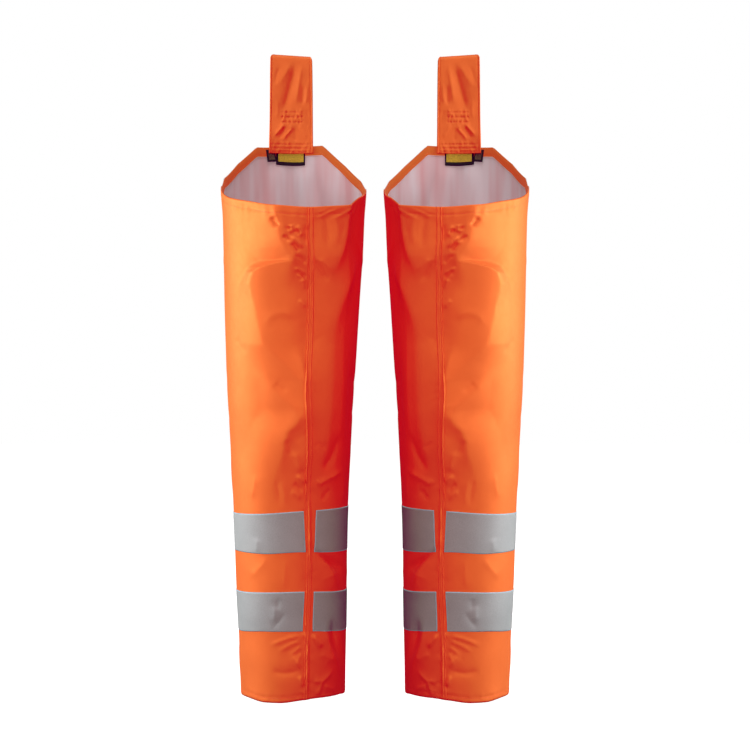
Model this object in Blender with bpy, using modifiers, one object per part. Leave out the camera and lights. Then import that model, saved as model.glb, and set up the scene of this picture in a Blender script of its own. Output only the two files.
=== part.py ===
"""Pair of rain chaps: two tapering leg tubes in the shape that wearing gives them, each hung by a belt strap.

Metres, +Z up, front of the legs towards -Y. The origin is where the belt passes, midway between the two belt
straps. Sizes below are in millimetres, and x is counted from the middle plane of the pair towards the outer
side of a leg, so that both legs come from the same tables.
"""

import math
from collections import namedtuple

import bmesh
import bpy
import numpy as np
from mathutils import Vector

MM = 0.001

# Cloth
WALL = 1.2
GAP = 0.3
HEM_THICKNESS = 1.0
TAPE_THICKNESS = 0.8
LAP_THICKNESS = 0.9
LABEL_THICKNESS = 0.5
STRAP_THICKNESS = 1.6

# Leg tube, from the hem up: its reach from the middle plane, half its depth and how far back its middle lies
LEG_MID_Y = -110.6
ROUNDNESS = 2.15
Section = namedtuple("Section", "z outer inner half_depth set_back")
SECTIONS = (
    Section(-822.6, 174.2, 39.0, 81.5, 2.0),
    Section(-749.9, 176.8, 37.7, 84.0, 3.0),
    Section(-666.7, 180.7, 36.4, 88.0, 5.0),
    Section(-583.5, 183.9, 35.1, 93.0, 5.5),
    Section(-500.3, 187.9, 31.2, 97.0, 2.5),
    Section(-437.9, 191.1, 28.0, 100.5, -1.0),
    Section(-375.5, 193.1, 23.4, 105.0, -2.5),
    Section(-313.1, 195.0, 19.5, 109.0, -1.5),
    Section(-250.7, 196.3, 15.6, 112.0, 0.0),
    Section(-209.1, 197.6, 13.7, 112.0, 0.0),
    Section(-167.5, 200.2, 11.1, 112.0, 0.0),
    Section(-100.0, 200.2, 11.1, 112.0, 0.0),
)

# Top and lower edge: height at each share of the half width, from the inner side (-1) to the outer side (1)
Edge = namedtuple("Edge", "share z")
FRONT_EDGE = (
    Edge(-1.0, -169.0),
    Edge(-0.99, -175.0),
    Edge(-0.905, -185.0),
    Edge(-0.753, -195.5),
    Edge(-0.5, -199.7),
    Edge(-0.229, -201.8),
    Edge(0.181, -199.6),
    Edge(0.533, -193.5),
    Edge(0.838, -186.0),
    Edge(0.93, -180.0),
    Edge(0.99, -170.5),
    Edge(1.0, -165.0),
)
BACK_EDGE = (
    Edge(-1.0, -169.0),
    Edge(-0.93, -154.5),
    Edge(-0.706, -130.5),
    Edge(-0.376, -100.0),
    Edge(0.1, -101.0),
    Edge(0.578, -103.5),
    Edge(0.827, -129.2),
    Edge(0.985, -152.5),
    Edge(1.0, -165.0),
)
LOWER_EDGE = (
    Edge(-1.0, -822.2),
    Edge(-0.9, -819.6),
    Edge(-0.5, -819.0),
    Edge(-0.2, -820.8),
    Edge(0.2, -824.1),
    Edge(0.5, -824.3),
    Edge(0.85, -821.6),
    Edge(1.0, -822.2),
)
BACK_CORNER_OUTER = 159.1
BACK_CORNER_INNER = 70.8
BACK_TOP_Z = -100.0
TOP_HEM_DEPTH = 14.0

# Seam on the front, towards the inner side
Seam = namedtuple("Seam", "z x")
SEAM = (
    Seam(-822.6, 86.8),
    Seam(-720.0, 84.8),
    Seam(-650.0, 84.6),
    Seam(-604.0, 83.3),
    Seam(-560.0, 85.3),
    Seam(-500.0, 85.7),
    Seam(-435.0, 87.7),
    Seam(-350.0, 81.5),
    Seam(-200.0, 80.8),
)
LAP_HALF_WIDTH = 3.6
TAPE_END_OUTER = 5.2
TAPE_END_INNER = 7.2

# Reflective tapes: heights of their edges, and how much higher these lie at the inner side
Tape = namedtuple("Tape", "name bottom top bottom_lift top_lift")
LOWER_TAPE = Tape("lower_tape", -736.6, -685.8, -1.0, -1.0)
UPPER_TAPE = Tape("upper_tape", -637.4, -587.4, 3.0, 7.5)
LIFT_FROM_SHARE = 0.25

# Level rows of the panel: below the tapes, between them, over the knee and over the thigh
ROWS_BELOW = (-822.2, -800.0, -778.0, -757.0)
ROWS_BETWEEN = (-669.0, -653.0)
ROWS_KNEE = (-570.0, -552.0, -534.0, -516.0, -498.0, -479.0, -460.0, -441.0, -422.0, -402.0, -380.0, -358.0)
ROWS_THIGH = (-336.0, -315.0, -296.0, -281.0, -267.0, -252.0, -236.0)
SHARES_TO_TOP = (0.34, 0.68, 1.0)

# Columns of the panel in each stretch round the leg, starting at the seam and going by the outer side
Stretch = namedtuple("Stretch", "upto columns")
STRETCHES = (
    Stretch("outer side", 12),
    Stretch("outer back corner", 5),
    Stretch("strap's outer edge", 1),
    Stretch("strap's inner edge", 4),
    Stretch("inner back corner", 1),
    Stretch("inner side", 5),
    Stretch("seam", 8),
)

# Largest folds: a line from x0, z0 to x1, z1, how far it stands out (or in, if negative) and how wide it is
Fold = namedtuple("Fold", "x0 z0 x1 z1 height spread")
FRONT_FOLDS = (
    Fold(114, -232, 101, -266, 2.5, 12),
    Fold(101, -266, 112, -275, 2.5, 12),
    Fold(112, -275, 149, -274, 3.0, 12),
    Fold(151, -277, 142, -342, 2.5, 15),
    Fold(142, -342, 137, -386, 2.0, 15),
    Fold(115, -290, 115, -340, -3.0, 24),
    Fold(29, -251, 60, -270, -3.5, 13),
    Fold(36, -279, 62, -290, 3.0, 15),
    Fold(168, -401, 132, -422, 2.5, 13),
    Fold(132, -422, 98, -458, 3.0, 14),
    Fold(106, -479, 116, -503, 2.0, 13),
    Fold(116, -503, 125, -535, 2.5, 13),
    Fold(51, -507, 67, -530, -3.5, 12),
    Fold(44, -532, 72, -547, 2.5, 12),
    Fold(92, -545, 97, -556, -1.8, 12),
    Fold(135, -642, 157, -669, -2.0, 13),
    Fold(94, -734, 137, -748, -2.0, 12),
    Fold(57, -736, 57, -752, -2.5, 12),
    Fold(84, -723, 60, -765, 2.0, 12),
)
BACK_FOLDS = (
    Fold(130, -300, 110, -370, 2.5, 20),
    Fold(70, -330, 120, -350, -2.5, 20),
    Fold(150, -430, 70, -445, -4.0, 16),
    Fold(60, -462, 140, -478, -3.5, 16),
    Fold(140, -500, 80, -520, -2.5, 15),
    Fold(60, -560, 100, -600, -2.0, 18),
    Fold(130, -650, 90, -670, -2.0, 18),
)
SIDE_FADE = 2.5

# Belt strap: the middle line of its side view, from its foot up to the fold and from the fold to its end
STRAP_OUTER = 143.5
STRAP_INNER = 83.7
STRAP_TOP_SHARE = 0.95
STRAP_CORNER = 4.0
STRAP_FLAT_Z = -60.0
FOLD_RADIUS = 5.8
FOLD_CENTRE_Y = 0.2
FOLD_CENTRE_Z = 18.1
FOLD_STEPS = 6
StrapPoint = namedtuple("StrapPoint", "y z")
STRAP_FRONT = (
    StrapPoint(-3.0, -110.6),
    StrapPoint(-3.0, -100.0),
    StrapPoint(-3.0, -84.0),
    StrapPoint(-3.0, -68.0),
    StrapPoint(-3.2, -54.0),
    StrapPoint(-4.2, -36.0),
    StrapPoint(-5.2, -17.0),
    StrapPoint(-5.6, 2.0),
)
STRAP_BACK = (
    StrapPoint(6.4, 2.0),
    StrapPoint(6.0, -17.0),
    StrapPoint(3.6, -38.0),
    StrapPoint(-0.2, -54.0),
    StrapPoint(-1.1, -60.0),
    StrapPoint(-1.1, -67.9),
)

# Labels under the foot of the strap
Label = namedtuple("Label", "name colour outer inner top bottom")
LABELS = (
    Label("main_label", "main label", 134.0, 94.9, -104.0, -125.7),
    Label("size_label", "size label", 147.4, 134.6, -106.0, -122.0),
)

Colour = namedtuple("Colour", "red green blue roughness")
COLOURS = {
    "panel": Colour(0.84, 0.15, 0.045, 0.35),
    "hem": Colour(0.78, 0.16, 0.05, 0.4),
    "tape": Colour(0.42, 0.42, 0.42, 0.45),
    "strap": Colour(0.75, 0.12, 0.04, 0.4),
    "main label": Colour(0.012, 0.012, 0.014, 0.6),
    "size label": Colour(0.03, 0.028, 0.02, 0.6),
}


def table_value(table, at, key, value):
    """Value read between the rows of a table."""
    return float(np.interp(at, [getattr(row, key) for row in table], [getattr(row, value) for row in table]))


def tube_at(z):
    """Middle x, half width, half depth and middle y of the tube at a height."""
    outer = table_value(SECTIONS, z, "z", "outer")
    inner = table_value(SECTIONS, z, "z", "inner")
    half_depth = table_value(SECTIONS, z, "z", "half_depth")
    middle_y = LEG_MID_Y + table_value(SECTIONS, z, "z", "set_back")
    return (outer + inner) / 2, (outer - inner) / 2, half_depth, middle_y


def share_of(angle):
    """Share of the half width reached at an angle, counted from the front by the outer side."""
    s = math.sin(angle)
    return math.copysign(abs(s) ** (2 / ROUNDNESS), s)


def angle_of(x, z, back=False):
    """Angle at which the tube reaches x at a height, on its front or back."""
    middle, half, _, _ = tube_at(z)
    share = (x - middle) / half
    angle = math.asin(math.copysign(abs(share) ** (ROUNDNESS / 2), share))
    return math.pi - angle if back else angle


def column_angles(z):
    """Angles of all columns at a height: four beside the seam, then the stretches round the leg."""
    seam_x = table_value(SEAM, z, "z", "x")
    beside = (-TAPE_END_INNER, -LAP_HALF_WIDTH, LAP_HALF_WIDTH, TAPE_END_OUTER)
    angles = [angle_of(seam_x + x, z) for x in beside]
    stops = [angles[3], math.pi / 2]
    stops += [angle_of(x, BACK_TOP_Z, True) for x in (BACK_CORNER_OUTER, STRAP_OUTER, STRAP_INNER, BACK_CORNER_INNER)]
    stops += [math.pi * 1.5, angles[0] + math.tau]
    for stretch, start, stop in zip(STRETCHES, stops, stops[1:]):
        for step in range(1, stretch.columns + 1):
            angles.append(start + (stop - start) * step / stretch.columns)
    return angles[:-1]


def panel_rows():
    """Rows of the panel from the hem up: height, lift at the inner side, share of the way to the top edge."""
    rows = [(z, 0.0, 0.0) for z in ROWS_BELOW]
    for tape, above in ((LOWER_TAPE, ROWS_BETWEEN), (UPPER_TAPE, ROWS_KNEE + ROWS_THIGH)):
        for share in (0.0, 0.5, 1.0):
            z = tape.bottom + (tape.top - tape.bottom) * share
            lift = tape.bottom_lift + (tape.top_lift - tape.bottom_lift) * share
            rows.append((z, lift, 0.0))
        rows += [(z, 0.0, 0.0) for z in above]
    return rows + [(ROWS_THIGH[-1], 0.0, share) for share in SHARES_TO_TOP]


ROWS = panel_rows()
LOWER_TAPE_ROWS = [len(ROWS_BELOW) + step for step in range(3)]
UPPER_TAPE_ROWS = [LOWER_TAPE_ROWS[-1] + len(ROWS_BETWEEN) + 1 + step for step in range(3)]
COLUMN_COUNT = 3 + sum(stretch.columns for stretch in STRETCHES)
LAP_COLUMNS = (1, 2)
TAPE_COLUMNS = list(range(3, COLUMN_COUNT)) + [0]
STRAP_START = 3 + sum(stretch.columns for stretch in STRETCHES[:3])
STRAP_COLUMNS = [STRAP_START + step for step in range(STRETCHES[3].columns + 1)]


def row_height(row, angle):
    """Height of a row at an angle: level, lifted towards the inner side, or on its way to the top edge."""
    z, lift, to_top = ROWS[row]
    share, front = share_of(angle), math.cos(angle) > 0
    if row == 0 and front:
        z = table_value(LOWER_EDGE, share, "share", "z")
    top = table_value(FRONT_EDGE if front else BACK_EDGE, share, "share", "z")
    inward = max(0.0, LIFT_FROM_SHARE - share) / (LIFT_FROM_SHARE + 1.0)
    return z + lift * inward + (top - z) * to_top


def swell(x, z, front):
    """How far the folds push the cloth out at a place on the front or back."""
    total = 0.0
    for fold in FRONT_FOLDS if front else BACK_FOLDS:
        across, up = fold.x1 - fold.x0, fold.z1 - fold.z0
        along = ((x - fold.x0) * across + (z - fold.z0) * up) / (across ** 2 + up ** 2)
        along = min(1.0, max(0.0, along))
        away = math.hypot(x - fold.x0 - along * across, z - fold.z0 - along * up)
        total += fold.height * math.exp(-((away / fold.spread) ** 2))
    return total


def wall_point(angle, z):
    """Point on the outside of the tube, folds included."""
    middle, half, half_depth, middle_y = tube_at(z)
    c = math.cos(angle)
    x = half * share_of(angle)
    y = -half_depth * math.copysign(abs(c) ** (2 / ROUNDNESS), c)
    out = Vector((x / half ** 2, y / half_depth ** 2, 0)).normalized()
    fold = swell(middle + x, z, c > 0) * min(1.0, SIDE_FADE * abs(c))
    return Vector((middle + x, middle_y + y, z)) + out * fold


def panel_points():
    """Rows of points on the outside of the leg panel, and the way out of the cloth at each."""
    points = []
    for r, (z, _, _) in enumerate(ROWS):
        heights = [row_height(r, angle) for angle in column_angles(z)]
        points.append([wall_point(column_angles(height)[c], height) for c, height in enumerate(heights)])
    ways = []
    for r, row in enumerate(points):
        above, below = points[min(r + 1, len(points) - 1)], points[max(r - 1, 0)]
        round_leg = [row[(c + 1) % COLUMN_COUNT] - row[c - 1] for c in range(COLUMN_COUNT)]
        ways.append([a.cross(above[c] - below[c]).normalized() for c, a in enumerate(round_leg)])
    return points, ways


def moved(points, ways, distance):
    """The same rows of points moved along their ways out."""
    return [[p + w * distance for p, w in zip(row, ways_row)] for row, ways_row in zip(points, ways)]


def chosen(points, rows, columns):
    """Some of the rows and columns of points."""
    return [[points[r][c] for c in columns] for r in rows]


def stepped_down(points, depth):
    """Row of points a distance below the top row, each on its own column's line."""
    foot = []
    for c, top in enumerate(points[-1]):
        r = len(points) - 2
        while top.z - points[r][c].z < depth:
            r -= 1
        high, low = points[r + 1][c], points[r][c]
        foot.append(high.lerp(low, (high.z - top.z + depth) / (high.z - low.z)))
    return foot


def back_y(inside, x):
    """Depth at x of the inside of the back near its top, on the panel's own flat faces."""
    line = sorted((p.x, p.y) for p in inside[-1] if p.y > LEG_MID_Y)
    return float(np.interp(x, [p[0] for p in line], [p[1] for p in line]))


def material(name):
    """Plain material with one of the named colours."""
    made = bpy.data.materials.get(name) or bpy.data.materials.new(name)
    made.use_nodes = True
    shader = made.node_tree.nodes["Principled BSDF"]
    colour = COLOURS[name]
    shader.inputs["Base Color"].default_value = (colour.red, colour.green, colour.blue, 1.0)
    shader.inputs["Roughness"].default_value = colour.roughness
    return made


def add_cloth(parts, name, points, thickness, offset, colour, side, ring=False):
    """Sheet of cloth: an open surface through rows of points, given its thickness on one side or both."""
    columns = len(points[0])
    verts = [(side * p.x * MM, p.y * MM, p.z * MM) for row in points for p in row]
    faces = []
    for r in range(len(points) - 1):
        for c in range(columns if ring else columns - 1):
            a, b = r * columns + c, r * columns + (c + 1) % columns
            face = (a, b, b + columns, a + columns)
            faces.append(face if side > 0 else face[::-1])
    mesh = bpy.data.meshes.new(name)
    mesh.from_pydata(verts, [], faces)
    mesh.shade_smooth()
    mesh.materials.append(material(colour))
    item = bpy.data.objects.new(name, mesh)
    parts.objects.link(item)
    wall = item.modifiers.new("wall", "SOLIDIFY")
    wall.thickness = thickness * MM
    wall.offset = offset
    wall.use_even_offset = True
    return item


def add_leg_cloth(parts, leg, side, points, ways):
    """Leg panel, seam lap, tapes and turned hem, all from the panel's own points."""
    inside = moved(points, ways, -WALL)
    raised = moved(points, ways, GAP)
    add_cloth(parts, f"{leg}_leg_panel", points, WALL, -1, "panel", side, ring=True)
    lap = chosen(raised, range(len(ROWS)), LAP_COLUMNS)
    add_cloth(parts, f"{leg}_seam_lap", lap, LAP_THICKNESS, 1, "panel", side)
    for tape, rows in ((LOWER_TAPE, LOWER_TAPE_ROWS), (UPPER_TAPE, UPPER_TAPE_ROWS)):
        band = chosen(raised, rows, TAPE_COLUMNS)
        add_cloth(parts, f"{leg}_{tape.name}", band, TAPE_THICKNESS, 1, "tape", side)
    hem = moved([stepped_down(inside, TOP_HEM_DEPTH), inside[-1]], [ways[-1], ways[-1]], -GAP)
    add_cloth(parts, f"{leg}_top_hem", hem, HEM_THICKNESS, -1, "hem", side, ring=True)
    return inside


def strap_line():
    """Side view of the strap from its foot, over the fold and down to its end: y, z and the turn so far."""
    line = [(point.y, point.z, 0.0) for point in STRAP_FRONT]
    for step in range(FOLD_STEPS + 1):
        turn = math.pi * step / FOLD_STEPS
        y = FOLD_CENTRE_Y - FOLD_RADIUS * math.cos(turn)
        line.append((y, FOLD_CENTRE_Z + FOLD_RADIUS * math.sin(turn), turn))
    return line + [(point.y, point.z, math.pi) for point in STRAP_BACK]


def add_strap(parts, leg, side, inside):
    """Belt strap: its foot follows the back, its top is folded over the belt."""
    middle, half = (STRAP_OUTER + STRAP_INNER) / 2, (STRAP_OUTER - STRAP_INNER) / 2
    inset = GAP + HEM_THICKNESS + GAP + LABEL_THICKNESS + GAP + STRAP_THICKNESS / 2
    foot_z = STRAP_FRONT[0].z
    rows = []
    for y, z, turn in strap_line():
        rise = min(1.0, (z - foot_z) / (FOLD_CENTRE_Z - foot_z))
        width = 1.0 - (1.0 - STRAP_TOP_SHARE) * rise
        width -= STRAP_CORNER / half * (1.0 - abs(math.cos(turn)))
        hold = 0.0
        if turn == 0.0 and z < STRAP_FLAT_Z:
            hold = min(1.0, (STRAP_FLAT_Z - z) / (STRAP_FLAT_Z - BACK_TOP_Z))
            hold *= hold * (3 - 2 * hold)
        row = []
        for column in STRAP_COLUMNS:
            x = inside[-1][column].x
            bend = (back_y(inside, x) - inset - y) * hold
            row.append(Vector((middle + (x - middle) * width, y + bend, z)))
        rows.append(row)
    add_cloth(parts, f"{leg}_belt_strap", rows, STRAP_THICKNESS, 0, "strap", side)


def add_label(parts, leg, side, inside, label):
    """Label on the inside of the back, following its flat faces."""
    xs = [p.x for p in inside[-1] if p.y > LEG_MID_Y and label.inner + 1 < p.x < label.outer - 1]
    xs = sorted(xs + [label.inner, label.outer])
    inset = GAP + HEM_THICKNESS + GAP
    rows = [[Vector((x, back_y(inside, x) - inset, z)) for x in xs] for z in (label.bottom, label.top)]
    add_cloth(parts, f"{leg}_{label.name}", rows, LABEL_THICKNESS, 1, label.colour, side)


def main():
    for item in list(bpy.data.objects):
        bpy.data.objects.remove(item, do_unlink=True)
    parts = bpy.data.collections.new("rain_chaps")
    bpy.context.scene.collection.children.link(parts)
    points, ways = panel_points()
    for leg, side in (("right", -1), ("left", 1)):
        inside = add_leg_cloth(parts, leg, side, points, ways)
        add_strap(parts, leg, side, inside)
        for label in LABELS:
            add_label(parts, leg, side, inside, label)


main()
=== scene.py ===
"""Pair of rain chaps in coated high-visibility cloth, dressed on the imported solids.

Metres in Blender, millimetres in the tables below. The origin is where the belt passes, +Z is up and the
front of the legs looks towards -Y. x is counted from the middle plane of the pair towards the outer side of
a leg, so that both legs come from the same tables.
"""

import math
import random
from collections import namedtuple

import bpy
import numpy as np
from bpy.props import FloatProperty, FloatVectorProperty, PointerProperty
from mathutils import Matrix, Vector


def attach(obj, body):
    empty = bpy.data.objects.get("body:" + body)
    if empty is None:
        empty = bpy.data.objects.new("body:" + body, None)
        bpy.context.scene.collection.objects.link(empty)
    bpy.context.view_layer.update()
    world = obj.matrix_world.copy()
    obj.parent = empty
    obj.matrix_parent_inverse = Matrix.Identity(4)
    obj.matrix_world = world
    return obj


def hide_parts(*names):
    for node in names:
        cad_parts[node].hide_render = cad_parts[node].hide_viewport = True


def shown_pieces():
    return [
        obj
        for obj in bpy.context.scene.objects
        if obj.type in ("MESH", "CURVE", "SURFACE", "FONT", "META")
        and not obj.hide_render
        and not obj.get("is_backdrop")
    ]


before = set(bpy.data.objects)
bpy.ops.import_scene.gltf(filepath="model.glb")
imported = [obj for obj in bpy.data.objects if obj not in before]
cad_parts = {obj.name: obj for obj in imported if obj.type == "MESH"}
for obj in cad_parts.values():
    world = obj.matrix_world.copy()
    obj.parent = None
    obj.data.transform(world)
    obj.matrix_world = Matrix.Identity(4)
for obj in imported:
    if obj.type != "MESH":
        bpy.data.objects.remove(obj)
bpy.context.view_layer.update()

bl_info = {
    "name": "Rain chaps",
    "version": (1, 0, 0),
    "blender": (4, 5, 0),
    "location": "3D View > Sidebar > Rain chaps",
    "description": "Coated cloth, reflective tapes, straps and stitching of a pair of rain chaps",
    "category": "Add Mesh",
}

MM = 0.001
LEGS = (("right", -1), ("left", 1))


def table(columns, *rows):
    """Table whose rows have named columns."""
    row = namedtuple("Row", columns)
    return tuple(row(*values) for values in rows)


# Leg tube, from the hem up: its reach from the middle plane, half its depth and how far back its middle is
LEG_MID_Y = -110.6
ROUNDNESS = 2.15
SECTIONS = table(
    "z outer inner half_depth set_back",
    (-822.6, 174.2, 39.0, 81.5, 2.0),
    (-749.9, 176.8, 37.7, 84.0, 3.0),
    (-666.7, 180.7, 36.4, 88.0, 5.0),
    (-583.5, 183.9, 35.1, 93.0, 5.5),
    (-500.3, 187.9, 31.2, 97.0, 2.5),
    (-437.9, 191.1, 28.0, 100.5, -1.0),
    (-375.5, 193.1, 23.4, 105.0, -2.5),
    (-313.1, 195.0, 19.5, 109.0, -1.5),
    (-250.7, 196.3, 15.6, 112.0, 0.0),
    (-209.1, 197.6, 13.7, 112.0, 0.0),
    (-167.5, 200.2, 11.1, 112.0, 0.0),
    (-100.0, 200.2, 11.1, 112.0, 0.0),
)

# Height of each edge at shares of the half width, from the inner side (-1) to the outer side (1)
EDGE = "share z"
TOP_FRONT = table(
    EDGE,
    (-1.0, -169.0), (-0.99, -175.0), (-0.905, -185.0), (-0.753, -195.5), (-0.5, -199.7), (-0.229, -201.8),
    (0.181, -199.6), (0.533, -193.5), (0.838, -186.0), (0.93, -180.0), (0.99, -170.5), (1.0, -165.0),
)
TOP_BACK = table(
    EDGE,
    (-1.0, -169.0), (-0.93, -154.5), (-0.706, -130.5), (-0.376, -100.0), (0.1, -101.0), (0.578, -103.5),
    (0.827, -129.2), (0.985, -152.5), (1.0, -165.0),
)
HEM_FRONT = table(
    EDGE,
    (-1.0, -822.2), (-0.9, -819.6), (-0.5, -819.0), (-0.2, -820.8), (0.2, -824.1), (0.5, -824.3),
    (0.85, -821.6), (1.0, -822.2),
)
UPPER_TAPE_TOP = table(
    EDGE,
    (-1.0, -579.6), (-0.4, -581.2), (-0.2, -581.9), (0.45, -585.4), (1.0, -587.4),
)
UPPER_TAPE_FOOT = table(
    EDGE,
    (-1.0, -636.6), (-0.4, -633.8), (-0.2, -633.2), (0.45, -636.0), (1.0, -635.6),
)
LOWER_TAPE_TOP = table(
    EDGE,
    (-1.0, -687.2), (-0.4, -683.6), (-0.2, -683.2), (0.45, -684.8), (1.0, -687.4),
)
LOWER_TAPE_FOOT = table(
    EDGE,
    (-1.0, -738.8), (-0.4, -733.6), (-0.2, -733.2), (0.45, -734.2), (1.0, -739.2),
)
HEM_BACK_Z = -822.2

# Front seam: how far it lies from the middle plane, and how far from it the tapes end on either side
SEAM = table(
    "z x outer_end inner_end",
    (-822.6, 86.6, 5.6, 6.5), (-733.0, 85.5, 5.6, 6.5), (-683.0, 83.8, 5.0, 6.4), (-636.0, 82.9, 4.2, 6.5),
    (-584.0, 83.2, 6.2, 9.0), (-560.0, 84.4, 6.2, 9.0), (-500.0, 85.3, 6.2, 9.0), (-435.0, 87.3, 6.2, 9.0),
    (-350.0, 81.7, 6.2, 9.0), (-200.0, 81.0, 6.2, 9.0),
)
LAP_HALF = 3.5
# Points of the mesh across the lap, and those that its two rows of stitches follow
LAP_POINTS = 17
LAP_STITCH_COLUMNS = (3, 13)
# Ridges of the lap: where each lies, from the inner side (-1) to the outer side (1), and how wide it is
LAP_RIDGES = table(
    "place width key",
    (0.74, 0.26, "outer_ridge"), (-0.05, 0.3, "middle_ridge"), (-0.72, 0.24, "inner_ridge"),
)
# How high they stand
SEAM_RIDGES = table(
    "z outer_ridge middle_ridge inner_ridge",
    (-822.0, 0.7, 0.6, 0.3), (-805.0, 0.6, 2.1, 0.2), (-752.0, 0.6, 2.1, 0.2), (-735.0, 1.0, 0.4, 0.7),
    (-650.0, 0.7, 0.7, 0.7), (-632.0, 0.4, 2.2, 0.2), (-585.0, 0.4, 2.2, 0.2), (-560.0, 1.3, 0.2, 1.0),
    (-440.0, 1.7, 0.2, 1.3), (-330.0, 1.0, 0.7, 1.1), (-290.0, 0.6, 1.4, 1.3), (-262.0, 1.4, 0.1, 1.2),
    (-202.0, 1.6, 0.1, 1.1),
)
BACK_CORNER_OUTER = 159.1
BACK_CORNER_INNER = 70.8
BACK_TOP_Z = -100.0
TOP_HEM_DEPTH = 14.0
TOP_STITCH_DEPTH = 10.0
# Row of the hem where its stitches show inside
HEM_STITCH_ROW = 5
LOW_STITCH_HEIGHT = 7.0
# Depths below the top edge of the rows of the turned hem, closer where it is stitched
HEM_DEPTHS = (0.0, 0.4, 2.0, 4.0, 6.0, 8.0, 9.2, 10.0, 10.8, 11.8, 12.8, TOP_HEM_DEPTH - 0.2, TOP_HEM_DEPTH)

# Cells of the cloth's mesh in each stretch round the leg, from the seam by the outer side, the columns
# between which the lap lies and the one where the tapes start
STRETCHES = (2, 4, 2, 96, 24, 8, 22, 8, 24, 50)
COLUMNS = sum(STRETCHES)
LAP_COLUMNS = (STRETCHES[0], STRETCHES[0] + STRETCHES[1])
TAPE_START = sum(STRETCHES[:3])
# Cells in each rise up the leg, from the hem, and the heights from which the search for its ends starts
RISES = (44, 22, 24, 22, 112, 68, 30)
KNOT_LEVEL = -330.0
THIGH_LEVEL = -236.0
FIRST_LEVELS = (-822.0, -736.0, -685.0, -635.0, -583.0, KNOT_LEVEL, THIGH_LEVEL, -200.0)
# Rows of the mesh that reach past the turned hem, and the row that the stitches of the low hem follow
TOP_ROWS = 60
LOW_STITCH_ROW = 3
# Tapes: the rise that each covers, and its length in the flat in metres
TAPES = table("name rise girth", ("lower_tape", 1, 0.50), ("upper_tape", 3, 0.535))

# Strap: middle line of its side view from the foot up, the fold, and its width
STRAP_OUTER = 143.5
STRAP_INNER = 83.7
STRAP_TOP_SHARE = 0.95
FOLD_RADIUS = 5.8
FOLD_CENTRE_Y = 0.2
FOLD_CENTRE_Z = 18.1
FOLD_STEPS = 12
# Length of a cell along the strap, the cells at its edges, and where the even ones start
STRAP_CELL = 1.15
STRAP_EDGE_CELLS = (0, 0.25, 0.6, 1.1, 1.8, 2.6)
STRAP_INNER_CELLS = 3.6
STRAP_FRONT = table(
    "y z",
    (-3.0, -110.6), (-3.0, -100.0), (-3.0, -84.0), (-3.0, -68.0), (-3.2, -54.0), (-4.2, -36.0),
    (-5.2, -17.0), (-5.6, 2.0),
)
STRAP_BACK = table(
    "y z",
    (6.4, 2.0), (6.0, -17.0), (3.6, -38.0), (-0.2, -54.0), (-1.1, -60.0), (-1.1, -67.9),
)

# Flat raised part of the thigh's and knee's front: x of its outer border, how far it stands out, and how far
# it takes to fall away. Its border is a little rounded, and it rises over a stretch from the inner side.
PLATEAU = table(
    "z border height fall",
    (-150, 131, 2.0, 40), (-176, 126, 5.0, 40), (-200, 120.5, 7.2, 42), (-220, 118, 8.2, 44),
    (-242, 114, 9.6, 46), (-252, 109.5, 10.2, 48), (-262, 102.6, 10.5, 48), (-268, 101, 10.2, 44),
    (-272, 122, 10.0, 30), (-276, 138, 9.8, 20), (-282, 147, 9.5, 15), (-297, 151.5, 8.8, 18),
    (-342, 142.5, 7.0, 32), (-372, 136, 7.2, 42), (-394, 112, 8.0, 50), (-417, 92, 8.6, 52),
    (-454, 90, 8.4, 52), (-463, 96, 8.0, 52), (-479, 106, 6.6, 50), (-504, 113, 4.8, 50),
    (-528, 121, 3.0, 50), (-560, 130, 1.0, 50), (-590, 134, 0.0, 50),
)
PLATEAU_ROUND = 1.6
PLATEAU_INNER_X = 8
PLATEAU_INNER_RISE = 42

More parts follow.
